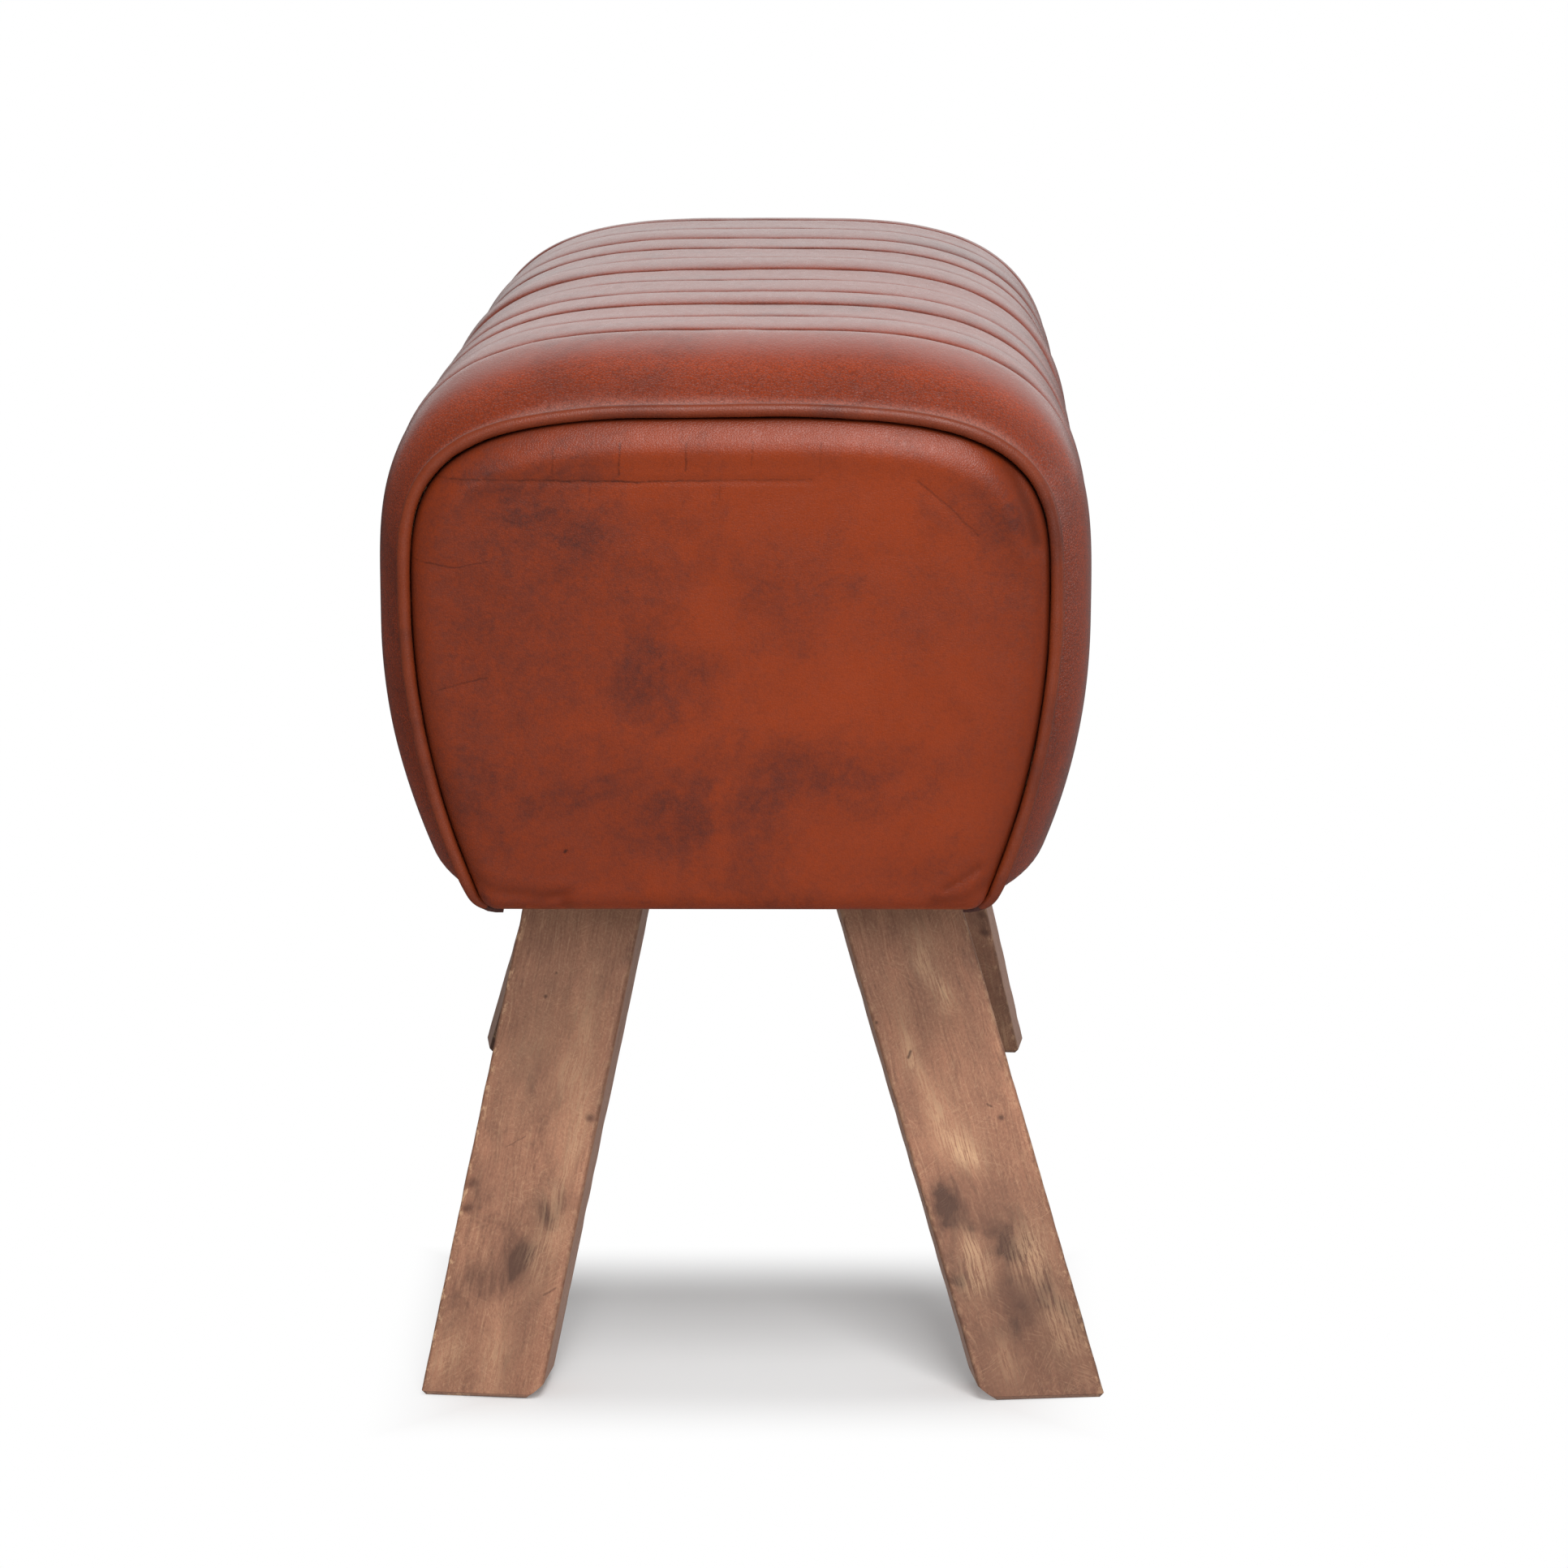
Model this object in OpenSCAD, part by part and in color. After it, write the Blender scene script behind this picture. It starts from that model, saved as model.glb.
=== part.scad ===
// Leather-covered bench in the style of a gymnast's pommel horse: a ribbed, padded
// barrel body on a timber frame, carried by four splayed and raked plank legs.
// X runs across the body, Y along it (front end at -Y), Z up from the floor.

/* [Body] */
// Length over the two domed end panels
body_len = 670; // [620:5:760]
// Width over the ribs at the waist
body_w = 330; // [300:2:360]
// Height of the crown above the floor
body_h = 505; // [480:5:540]
// Height of the underside above the floor
base_z = 250; // [225:5:265]
// Height of the widest line above the underside
waist_h = 119; // [110:1:130]
// Fullness of the crown, 2 is round and 5 is nearly square
fullness = 3.5; // [2.8:0.1:4]
// Radius of the sides below the waist
side_r = 280; // [265:5:400]
// Radius of the lower edges
corner_r = 12; // [9:0.5:14]

/* [Ribs] */
// Number of padded ribs
rib_count = 10; // [6:2:12]
// Distance from seam to seam
rib_pitch = 48; // [42:1:50]
// Depth of the seams below the ribs
rib_depth = 6; // [4:0.5:8]

/* [Ends] */
// How much narrower each side is at the end panel
end_inset = 18.5; // [10:1:24]
// How much lower the crown is at the end panel
end_drop = 25.5; // [14:0.5:30]
// How much higher the widest line is at the end panel
end_waist_rise = 24; // [10:1:30]
// Radius of the end panel's sides
end_side_r = 350; // [320:5:450]
// Rise of the end panel's middle
dome = 8; // [5:1:12]
// Width of the rounded edge of the end panel
dome_edge = 42; // [36:1:50]

/* [Leather] */
// Thickness of the leather
leather_t = 2; // [1.5:0.1:2.5]
// Width of leather turned in under the rails
turn_in = 10; // [7:1:12]
// Thickness of the cloth that the ribs are sewn to
backing_t = 1; // [0.6:0.1:1.4]
// Diameter of the piping
piping_d = 6; // [5:0.5:7]
// Diameter of the cord inside the piping
cord_d = 3; // [2.4:0.2:3.4]
// Width of the piping's sewn flange
flange_w = 6; // [4:0.5:8]
// Thickness of the piping's sewn flange
flange_t = 1.6; // [1.2:0.1:2]

/* [Timber frame] */
// Depth of the padding from the ribs to the frame
padding = 34; // [28:1:40]
// Radius of the frame's sides below the waist
frame_side_r = 640; // [560:20:900]
// Thickness of the plywood formers
former_t = 18; // [15:1:21]
// Thickness of the top deck
deck_t = 12; // [9:1:15]
// Width of the top deck
deck_w = 150; // [120:5:170]
// Thickness of the side rails
rail_t = 20; // [17:1:24]
// Height of the side rails
rail_h = 44; // [38:1:56]
// Thickness of the waist and shoulder battens
batten_t = 20; // [16:1:24]
// Height of the waist and shoulder battens
batten_h = 30; // [24:1:36]
// Height of the cross rails that hold the legs
cross_h = 84; // [76:1:96]
// Timber left in front of the legs in each cross rail
cross_cover = 32; // [28:1:38]
// Length of the screws
screw_len = 45; // [38:1:55]
// Diameter of the screws
screw_d = 4; // [3.5:0.5:5]

/* [Legs] */
// Width of each leg
leg_w = 57; // [50:1:62]
// Thickness of each leg
leg_t = 26; // [22:1:30]
// Sideways splay of the legs in degrees
splay = 14; // [10:0.2:17]
// Lean of the racked leg set in degrees: front feet to the right, rear feet to the left
rack = 2.2; // [0:0.1:3]
// Lengthwise rake of the legs in degrees
rake = 13.5; // [9:0.5:16]
// Turn of each leg about its own length in degrees
toe = 5; // [0:0.5:7]
// Length of leg inside the body
leg_up = 90; // [84:1:100]
// Distance from the end former to the legs at the underside
leg_inset = 64; // [58:1:100]
// Bevel along the legs' edges
leg_bevel = 1.6; // [0.8:0.2:2.4]
// Corner cut off the inner edge of each foot
foot_cut = 7; // [4:0.5:10]
// Bevel around the soles
sole_bevel = 2.4; // [1:0.2:3]
// Diameter of the leg bolts
bolt_d = 8; // [6:1:10]
// Height of the lower bolt above the underside
bolt_z1 = 24; // [21:1:30]
// Distance between the two bolts of a leg
bolt_step = 38; // [32:1:42]
// Timber clamped by each bolt behind the leg
bolt_grip = 24; // [20:1:26]

/* [Underside] */
// Thickness of the dust cover
dust_t = 1; // [0.6:0.1:1.5]
// Number of tacks along each long side
tack_count = 12; // [8:1:16]
// Diameter of the tack heads
tack_d = 7; // [5:0.5:8]

/* [Hidden] */

$fn = 32;
fit = 0.3;            // gap between layers that lie on each other
former_rim = 3;       // end former beyond the end panel's lower edge
drill = 0.5;          // how much wider a hole is than its bolt or screw
eps = 0.01;
top_steps = 7;        // facets from the waist to the crown
side_steps = 3;       // facets from the lower edge to the waist
corner_steps = 2;     // facets round the lower edge

leather_col = [0.42, 0.19, 0.11];
trim_col = [0.33, 0.15, 0.09];
wood_col = [0.58, 0.42, 0.30];
timber_col = [0.80, 0.66, 0.46];
foam_col = [0.93, 0.88, 0.70];
cloth_col = [0.85, 0.82, 0.74];
black_col = [0.10, 0.10, 0.10];
steel_col = [0.66, 0.67, 0.69];

// Places along the body, all measured from its middle
seam_y = rib_count * rib_pitch / 2;                       // last seam of the ribs
edge_y = body_len / 2 - dome - leather_t - flange_t;      // edge of the plain bands
former_y = edge_y - flange_t - 5;                         // outer face of the end formers
frame_y = former_y - former_t;                            // ends of the rails and battens
waist_z = base_z + waist_h;
floor_of_frame = base_z + leather_t;                      // underside of all timber and foam

// ---------------------------------------------------------------- body outlines
// An outline is [half width, crown height, waist height, fullness, side radius].
body_form = [body_w / 2, body_h, waist_z, fullness, side_r];
end_form = [body_w / 2 - end_inset, body_h - end_drop, waist_z + end_waist_rise,
  fullness, end_side_r];
frame_form = [body_w / 2 - padding, body_h - padding, waist_z, fullness, frame_side_r];

function inset(form, d) = [form[0] - d, form[1] - d, form[2], form[3], form[4] - d];
function blend(a, b, e) = a + (b - a) * e;
function flip(points) = [for (i = [len(points) - 1 : -1 : 0]) [-points[i][0], points[i][1]]];

// Sideways place and slope of the lower edge, where its arc meets the side arc
function corner_x(form, zb, r) =
  form[0] - form[4] + sqrt(pow(form[4] - r, 2) - pow(form[2] - zb - r, 2));
function corner_slope(form, zb, r) = asin((form[2] - zb - r) / (form[4] - r));

function corner_arc(form, zb, r) =
  [for (i = [0 : corner_steps])
    let (a = -90 + (90 - corner_slope(form, zb, r)) * i / corner_steps)
    [corner_x(form, zb, r) + r * cos(a), zb + r + r * sin(a)]];
function side_arc(form, zb, r) =
  [for (i = [0 : side_steps])
    let (a = -corner_slope(form, zb, r) * (1 - i / side_steps))
    [form[0] - form[4] + form[4] * cos(a), form[2] + form[4] * sin(a)]];
function crown_curve(form) =
  [for (i = [1 : top_steps])
    let (a = 90 * i / top_steps, p = 2 / form[3])
    [form[0] * pow(max(cos(a), 0), p), form[2] + (form[1] - form[2]) * pow(sin(a), p)]];

// Side radius that brings the lower edge to x
function radius_for(form, zb, r, x) =
  let (k = form[0] - x, h = form[2] - zb - r)
  (k * k - r * r + h * h) / (2 * (k - r));

// Upper line: from one lower edge over the crown to the other
function upper_half(form, zb, r) = concat(side_arc(form, zb, r), crown_curve(form));
function upper_line(form, zb, r) =
  let (h = upper_half(form, zb, r))
  concat(h, flip([for (i = [0 : len(h) - 2]) h[i]]));
// Full line: the upper line with the two rounded lower edges
function full_half(form, zb, r) =
  let (c = corner_arc(form, zb, r))
  concat([for (i = [0 : corner_steps - 1]) c[i]], upper_half(form, zb, r));
function full_line(form, zb, r) =
  let (h = full_half(form, zb, r))
  concat(h, flip([for (i = [0 : len(h) - 2]) h[i]]));
// Skin line: the full line with leather turned in under the body as far as x_in
function skin_line(form, zb, r, x_in) =
  concat([[x_in, zb]], full_line(form, zb, r), [[-x_in, zb]]);

function reversed(v) = [for (i = [len(v) - 1 : -1 : 0]) v[i]];
function at_y(points, y) = [for (p = points) [p[0], y, p[1]]];
function layer(outer, inner, y) = at_y(concat(outer, reversed(inner)), y);

// Solid through closed loops of equally many points. A plain loop is capped by one face.
// A layer's loop runs out along its outer line and back along its inner one, and is capped
// by a strip of facets between the two.
function cap(n, strip, start) = !strip ? [[for (j = [0 : n - 1]) start + j]] :
  [for (j = [0 : n / 2 - 2])
    let (a = start + j, b = start + n - 1 - j)
    each [[a, a + 1, b], [a + 1, b - 1, b]]];
module loft(loops, strip = false) {
  n = len(loops[0]);
  last = len(loops) - 1;
  sides = [for (i = [0 : last - 1], j = [0 : n - 1])
    let (k = (j + 1) % n)
    each [[i * n + j, i * n + k, (i + 1) * n + j],
      [i * n + k, (i + 1) * n + k, (i + 1) * n + j]]];
  first_end = [for (f = cap(n, strip, 0)) reversed(f)];
  polyhedron([for (loop = loops) each loop],
    concat(sides, first_end, cap(n, strip, last * n)));
}

// Straight solid of one outline, along Y
module slab(line, y0, y1) {
  translate([0, y1, 0]) rotate([90, 0, 0]) linear_extrude(y1 - y0) polygon(line);
}

module rear() { mirror([0, 1, 0]) children(); }
module left() { mirror([1, 0, 0]) children(); }

// ---------------------------------------------------------------- ribbed cover
rib_marks = [-1, -0.72, 0, 0.72];              // stations across a rib, in half pitches
function rib_dip(s) = rib_depth * (1 - sqrt(1 - s * s));
function rib_y(i, s) = -seam_y + rib_pitch * (i + 0.5 + s / 2);
turned_x = corner_x(frame_form, floor_of_frame, 1) - turn_in;
// The turned-in edge runs straight, and gives way to the narrower lower edge at each end
function turned_edge(form) = min(turned_x, corner_x(form, base_z, corner_r) - 3);
function skin_loop(form, d, y) =
  layer(skin_line(inset(form, d), base_z, corner_r, turned_edge(form)),
    skin_line(inset(form, d + leather_t), base_z + leather_t, corner_r - leather_t,
      turned_edge(form)), y);

module ribbed_cover() {
  stations = concat(
    [for (i = [0 : rib_count - 1], s = rib_marks) [rib_y(i, s), rib_dip(s)]],
    [[seam_y, rib_depth]]);
  color(leather_col) loft([for (p = stations) skin_loop(body_form, p[1], p[0])], true);
}

// ---------------------------------------------------------------- plain bands
band_len = edge_y - seam_y;
roll = 20;                                     // rounded edge beside the last seam
band_marks = [0, 0.08, 0.24, 0.46, 0.68, 0.86, 0.96, 1];
function band_ease(t) = 1 - pow(1 - t * t, 1.1);
function band_dip(t) =
  t * band_len >= roll ? 0 : rib_dip(1 - t * band_len / roll);
function band_form(t) = blend(body_form, end_form, band_ease(t));

module plain_band() {
  color(leather_col) loft([for (t = reversed(band_marks))
    skin_loop(band_form(t), band_dip(t), -seam_y - t * band_len)], true);
}
module plain_band_front() { plain_band(); }
module plain_band_rear() { rear() plain_band(); }

// ---------------------------------------------------------------- end panels
rim = piping_d / 2 + fit;                      // from the piping's centre to the panel
dome_marks = [0, 0.09, 0.25, 0.54, 1];
function dome_in(m) = rim + dome_edge * m;
function dome_rise(m) = dome * sqrt(1 - pow(1 - m, 2));
function panel_line(d, lift, r) =
  full_line(inset(end_form, d), base_z + lift, r);

module end_panel() {
  rim_y = edge_y + flange_t;
  front = [for (m = dome_marks)
    at_y(panel_line(dome_in(m), dome_in(m) - rim, corner_r - rim),
      -rim_y - leather_t - dome_rise(m))];
  back = [for (m = dome_marks)
    at_y(panel_line(dome_in(m), dome_in(m) - rim, corner_r - rim),
      -rim_y - dome_rise(m))];
  lip_x = turned_edge(end_form) - fit;
  color(leather_col) union() {
    loft(concat(reversed(front), back));
    translate([-lip_x, -rim_y - leather_t / 2, base_z])
      cube([2 * lip_x, rim_y + leather_t / 2 - frame_y, leather_t]);
  }
}
module end_panel_front() { end_panel(); }
module end_panel_rear() { rear() end_panel(); }

// ---------------------------------------------------------------- piping
route = upper_line(end_form, base_z, corner_r);
function unit(v) = v / norm(v);
function route_normal(i) =
  let (a = route[max(i - 1, 0)], b = route[min(i + 1, len(route) - 1)], t = unit(b - a))
  [t[1], -t[0]];
// Sweep of a section, given as [outward, along Y] from the piping's centre
module sweep_route(section, strip = false) {
  loft([for (i = [0 : len(route) - 1])
    [for (q = section)
      let (p = route[i] + q[0] * route_normal(i))
      [p[0], -edge_y - piping_d / 2 + q[1], p[1]]]], strip);
}
function ring_point(r, a) = [r * cos(a), r * sin(a)];
function ring(r, sides) = [for (k = [0 : sides - 1]) ring_point(r, -360 * k / sides)];

// Leather strip folded round the cord; its two leaves lie together as the sewn flange
module piping() {
  r = piping_d / 2;
  bore = cord_d / 2 + fit / 2;
  tail = -rim - flange_w;
  upper = r - flange_t / 2 + fit / 2;           // faces of the two leaves, fit apart
  lower = r - flange_t / 2 - fit / 2;
  under = r - flange_t;
  outside = concat([[tail, r]], [for (k = [0 : 5]) ring_point(r, 67.5 - 45 * k)],
    [[-sqrt(r * r - under * under), under], [tail, under]]);
  inside = concat([[tail, upper], [0, upper]],
    [for (k = [0 : 4]) ring_point(bore, 60 - 60 * k)],
    [[-bore / 2, lower], [tail, lower]]);
  color(trim_col) sweep_route(concat(outside, reversed(inside)), true);
}
module piping_cord() { color(cloth_col) sweep_route(ring(cord_d / 2, 6)); }
module piping_front() { piping(); }
module piping_rear() { rear() piping(); }
module piping_cord_front() { piping_cord(); }
module piping_cord_rear() { rear() piping_cord(); }

// ---------------------------------------------------------------- padding
backing_d = leather_t + rib_depth + fit;       // backing cloth, below the ribs' crests
foam_d = backing_d + backing_t + fit;          // foam, below the ribs' crests
// The end formers narrow towards the end panels' lower edge
former_x = corner_x(end_form, base_z, corner_r) + former_rim;
former_form = [frame_form[0], frame_form[1], waist_z, fullness,
  radius_for(frame_form, floor_of_frame, 1, former_x)];
function foot_line(form) = full_line(form, floor_of_frame, 1);
function pad_line(form, lift = 0) =
  full_line(form, floor_of_frame + lift, corner_r - leather_t - lift);

module channel_backing() {
  outer = pad_line(inset(body_form, backing_d));
  inner = pad_line(inset(body_form, backing_d + backing_t));
  color(cloth_col) slab(concat(outer, reversed(inner)), -seam_y, seam_y);
}

module rib_wadding() {
  color(foam_col) for (i = [0 : rib_count - 1])
    loft([for (j = [1 : 3])
      let (s = rib_marks[j], d = rib_dip(s) + leather_t + fit)
      layer(upper_line(inset(body_form, d), base_z, corner_r),
        upper_line(inset(body_form, backing_d - fit), base_z, corner_r), rib_y(i, s))], true);
}

module foam_wrap() {
  color(foam_col) difference() {
    slab(pad_line(inset(body_form, foam_d), fit), -seam_y, seam_y);
    foam_cut(frame_form, -seam_y - eps, seam_y + eps);
  }
}

module foam_edge() {
  marks = [former_y, frame_y, seam_y + roll, seam_y];
  color(foam_col) difference() {
    loft([for (y = marks)
      let (t = (y - seam_y) / band_len)
      at_y(pad_line(inset(band_form(t), band_dip(t) + leather_t + 2 * fit)), -y)]);
    foam_cut(frame_form, -frame_y, -seam_y + eps);
    foam_cut(former_form, -former_y - eps, -frame_y + eps);
  }
}
// Room for the timber inside the foam
module foam_cut(form, y0, y1) {
  slab(full_line(inset(form, -fit), floor_of_frame - 1, 1), y0, y1);
}
module foam_edge_front() { foam_edge(); }
module foam_edge_rear() { rear() foam_edge(); }

// Pad on each end former, behind the end panel
module foam_end() {
  flange_in = rim + flange_w + fit;
  inner_rise = flange_t - fit;
  marks = [[leather_t + fit, leather_t, -former_y], [leather_t + fit, leather_t, -edge_y + fit],
    [flange_in, leather_t + 1, -edge_y + fit],
    [flange_in + fit, leather_t + 2, -edge_y - inner_rise - dome * 0.4]];
  loops = concat(
    [for (q = marks) at_y(panel_line(q[0], q[1], corner_r - leather_t), q[2])],
    [for (m = [0.4, 0.7, 1])
      at_y(panel_line(dome_in(m), dome_in(m) - rim + leather_t, corner_r - leather_t),
        -edge_y - inner_rise - dome_rise(m))]);
  color(foam_col) loft(reversed(loops));
}
module foam_end_front() { foam_end(); }
module foam_end_rear() { rear() foam_end(); }

// ---------------------------------------------------------------- timber frame
module frame_bar(x0, x1, z0, z1) {
  translate([min(x0, x1), -frame_y, z0]) cube([abs(x1 - x0), 2 * frame_y, z1 - z0]);
}

frame_half = frame_form[0];
rail_in = corner_x(frame_form, floor_of_frame, 1) + 1 - rail_t;   // inner face of side rail
far = body_w;                                                     // well past every side
shoulder_z = waist_z + (body_h - padding - waist_z) * 0.68 - batten_h / 2;
shoulder_x = frame_half - batten_t * 1.7;
deck_z = body_h - padding - deck_t;

// Rough bars before their outer faces are shaped to the frame's outline
module side_rail_bar() { frame_bar(rail_in, far, floor_of_frame, floor_of_frame + rail_h); }
module waist_bar() {
  frame_bar(frame_half - batten_t, far, waist_z - batten_h / 2, waist_z + batten_h / 2);
}
module shoulder_bar() { frame_bar(shoulder_x, far, shoulder_z, shoulder_z + batten_h); }
module deck_bar() { frame_bar(-deck_w / 2, deck_w / 2, deck_z, far * 2); }
module shaped() {
  color(timber_col) intersection() {
    slab(foot_line(frame_form), -frame_y, frame_y);
    children();
  }
}

module frame_screw_holes() { frame_screw_places() screw_hole(); }
module side_rail_right() {
  difference() {
    shaped() side_rail_bar();
    frame_screw_holes();
    cross_screw_places() screw_hole();
    tack_places() cylinder(h = tack_len + fit, d = tack_shank_d + fit);
  }
}
module side_rail_left() { left() side_rail_right(); }
module waist_batten_right() {
  difference() {
    shaped() waist_bar();
    frame_screw_holes();
  }
}
module waist_batten_left() { left() waist_batten_right(); }
module shoulder_batten_right() {
  difference() {
    shaped() shoulder_bar();
    frame_screw_holes();
  }
}
module shoulder_batten_left() { left() shoulder_batten_right(); }
module top_deck() {
  difference() {
    shaped() deck_bar();
    for (side = [0, 1]) mirror([side, 0, 0]) frame_screw_holes();
  }
}

module end_former() {
  color(timber_col) difference() {
    slab(foot_line(former_form), -former_y, -frame_y);
    for (side = [0, 1]) mirror([side, 0, 0]) frame_screw_holes();
  }
}
module end_former_front() { end_former(); }
module end_former_rear() { rear() end_former(); }

// Middle former, notched round the rails, the battens and the deck
module centre_former() {
  window_w = 2 * (frame_half - batten_t - 26);
  window_h = waist_h - rail_h - 22;
  color(timber_col) difference() {
    slab(foot_line(frame_form), -former_t / 2, former_t / 2);
    deck_bar();
    for (side = [0, 1]) mirror([side, 0, 0]) {
      side_rail_bar();
      waist_bar();
      shoulder_bar();
    }
    translate([-window_w / 2, -former_t, floor_of_frame + rail_h])
      cube([window_w, 2 * former_t, window_h]);
  }
}

// Screws: a countersunk head at the origin, the shank along +Z
module screw() {
  color(steel_col) union() {
    cylinder(h = screw_d / 2, d1 = screw_d * 2, d2 = screw_d);
    cylinder(h = screw_len, d = screw_d);
  }
}
module screw_hole() {
  translate([0, 0, -eps]) cylinder(h = screw_d / 2 + eps, d1 = screw_d * 2 + drill,
    d2 = screw_d + drill);
  cylinder(h = screw_len + drill, d = screw_d + drill);
}
// Places in the right half; every screw goes through an end former into a bar's end
screw_spots = [[rail_in + rail_t * 0.45, floor_of_frame + rail_h * 0.3],
  [rail_in + rail_t * 0.45, floor_of_frame + rail_h * 0.75],
  [frame_half - batten_t / 2, waist_z],
  [shoulder_x + batten_t / 2, shoulder_z + batten_h / 2],
  [deck_w / 4, deck_z + deck_t * 0.42]];
module frame_screw_places() {
  for (q = screw_spots, end = [0, 1]) mirror([0, end, 0])
    translate([q[0], -former_y, q[1]]) rotate([-90, 0, 0]) children();
}
module frame_screws() {
  for (side = [0, 1]) mirror([side, 0, 0]) frame_screw_places() screw();
}

// ---------------------------------------------------------------- legs
leg_gap = 2.5;                                  // from the side rail to the leg
leg_out_x = rail_in - leg_gap;                  // outer edge of the leg at the underside
leg_out_y = frame_y - leg_inset;                // outer face of the leg at the underside
leg_top = base_z + leg_up;

leg_mid_x = leg_out_x - leg_w / 2 / cos(splay);
leg_mid_y = -leg_out_y + leg_t / 2 / cos(rake);

// The rear legs are the front ones turned half round; $lean adds to a leg's splay
module leg_pair() {
  let ($lean = rack) children();
  left() let ($lean = -rack) children();
}
module half_turn() { rotate([0, 0, 180]) children(); }
module four_legs() {
  leg_pair() children();
  half_turn() leg_pair() children();
}

// Right front leg's own place: the origin is where its middle line meets the underside
module at_leg() {
  translate([leg_mid_x, leg_mid_y, base_z])
    rotate([-rake, 0, 0]) rotate([0, -splay - $lean, 0]) rotate([0, 0, toe]) children();
}
module leg_section(grow, bevel) {
  x = leg_w / 2 + grow;
  y = leg_t / 2 + grow;
  polygon([[-x, -y + bevel], [-x + bevel, -y], [x - bevel, -y], [x, -y + bevel],
    [x, y - bevel], [x - bevel, y], [-x + bevel, y], [-x, y - bevel]]);
}
module leg_beam(grow, bevel) {
  at_leg() translate([0, 0, -base_z * 1.3]) linear_extrude(base_z * 1.3 + leg_up * 1.4)
    leg_section(grow, bevel);
}
// Bar along one lower edge of the foot, dx and dy away from the middle of the sole
module sole_cut(dx, dy, turn, size) {
  sole_x = leg_mid_x + base_z * tan(splay + $lean) / cos(rake);
  sole_y = leg_mid_y - base_z * tan(rake);
  half = size / sqrt(2);
  translate([sole_x, sole_y, 0]) rotate([0, 0, toe]) translate([dx, dy, 0])
    rotate([0, 0, turn]) rotate([45, 0, 0])
    translate([-leg_w, -half, -half]) cube([leg_w * 2, half * 2, half * 2]);
}

module leg() {
  half_w = leg_w / 2 / cos(splay + $lean);
  half_t = leg_t / 2 / cos(rake);
  color(wood_col) difference() {
    intersection() {
      leg_beam(0, leg_bevel);
      translate([-far, -body_len, 0]) cube([2 * far, 2 * body_len, leg_top]);
    }
    sole_cut(0, -half_t, 0, sole_bevel);
    sole_cut(0, half_t, 0, sole_bevel);
    sole_cut(half_w, 0, 90, sole_bevel);
    sole_cut(-half_w, 0, 90, foot_cut);
    bolt_places() translate([0, 0, -leg_t]) cylinder(h = 2 * leg_t, d = bolt_d + drill);
  }
}
module leg_front_right() { let ($lean = rack) leg(); }
module leg_front_left() { let ($lean = -rack) left() leg(); }
module leg_rear_right() { half_turn() leg_front_left(); }
module leg_rear_left() { half_turn() leg_front_right(); }

// Bolts run through leg and cross rail; their +Z points to the end of the body
module bolt_places() {
  for (k = [0, 1]) at_leg() translate([0, 0, bolt_z1 + k * bolt_step])
    rotate([90, 0, 0]) children();
}
head_h = bolt_d * 0.65;
washer_t = bolt_d * 0.2;
washer_d = bolt_d * 2.1;
seat = leg_t / 2 + bolt_grip;                    // under the bolt head
back = -leg_t / 2;                               // inner face of the leg
across = bolt_d * 1.875;                         // corner to corner of head and nut
module hexagon(h) { cylinder(h = h, d = across, $fn = 6); }

module leg_bolts() {
  nut_end = washer_t + head_h * 1.25;
  color(steel_col) four_legs() bolt_places() union() {
    translate([0, 0, seat + washer_t]) hexagon(head_h);
    translate([0, 0, back - nut_end - 3]) cylinder(h = seat + washer_t + nut_end + 3 - back,
      d = bolt_d);
  }
}
module washer() {
  difference() {
    cylinder(h = washer_t, d = washer_d);
    translate([0, 0, -eps]) cylinder(h = washer_t + 2 * eps, d = bolt_d + drill);
  }
}
module leg_bolt_washers() {
  color(steel_col) four_legs() bolt_places() {
    translate([0, 0, seat]) washer();
    translate([0, 0, back - washer_t]) washer();
  }
}
module leg_bolt_nuts() {
  nut_h = head_h * 1.25;
  color(steel_col) four_legs() bolt_places() translate([0, 0, back - washer_t - nut_h])
    difference() {
      hexagon(nut_h);
      translate([0, 0, -eps]) cylinder(h = nut_h + 2 * eps, d = bolt_d + fit);
    }
}

// ---------------------------------------------------------------- cross rails
housing = 4;                                     // least depth of a leg's housing
cross_y_in = leg_out_y - cross_h * tan(rake) - housing;
cross_y_out = leg_out_y + cross_cover;
module cross_rail() {
  color(timber_col) difference() {
    translate([-rail_in, -cross_y_out, floor_of_frame])
      cube([2 * rail_in, cross_y_out - cross_y_in, cross_h]);
    leg_pair() {
      leg_beam(0, 0);
      bolt_places() {
        cylinder(h = leg_t / 2 + cross_cover * 2, d = bolt_d + drill);
        translate([0, 0, seat]) cylinder(h = cross_cover * 2, d = washer_d + 2 * drill);
      }
      cross_screw_places() screw_hole();
    }
  }
}
module cross_rail_front() { cross_rail(); }
module cross_rail_rear() { half_turn() cross_rail(); }
// Screws from outside each side rail into the ends of the cross rails
module cross_screw_places() {
  for (k = [0.22, 0.62], end = [0, 1]) mirror([0, end, 0])
    translate([rail_in + rail_t - 4, -cross_y_out + cross_cover * k,
      floor_of_frame + rail_h * 0.18])
      rotate([0, -90, 0]) children();
}
module cross_rail_screws() {
  for (side = [0, 1]) mirror([side, 0, 0]) cross_screw_places() screw();
}

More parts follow.
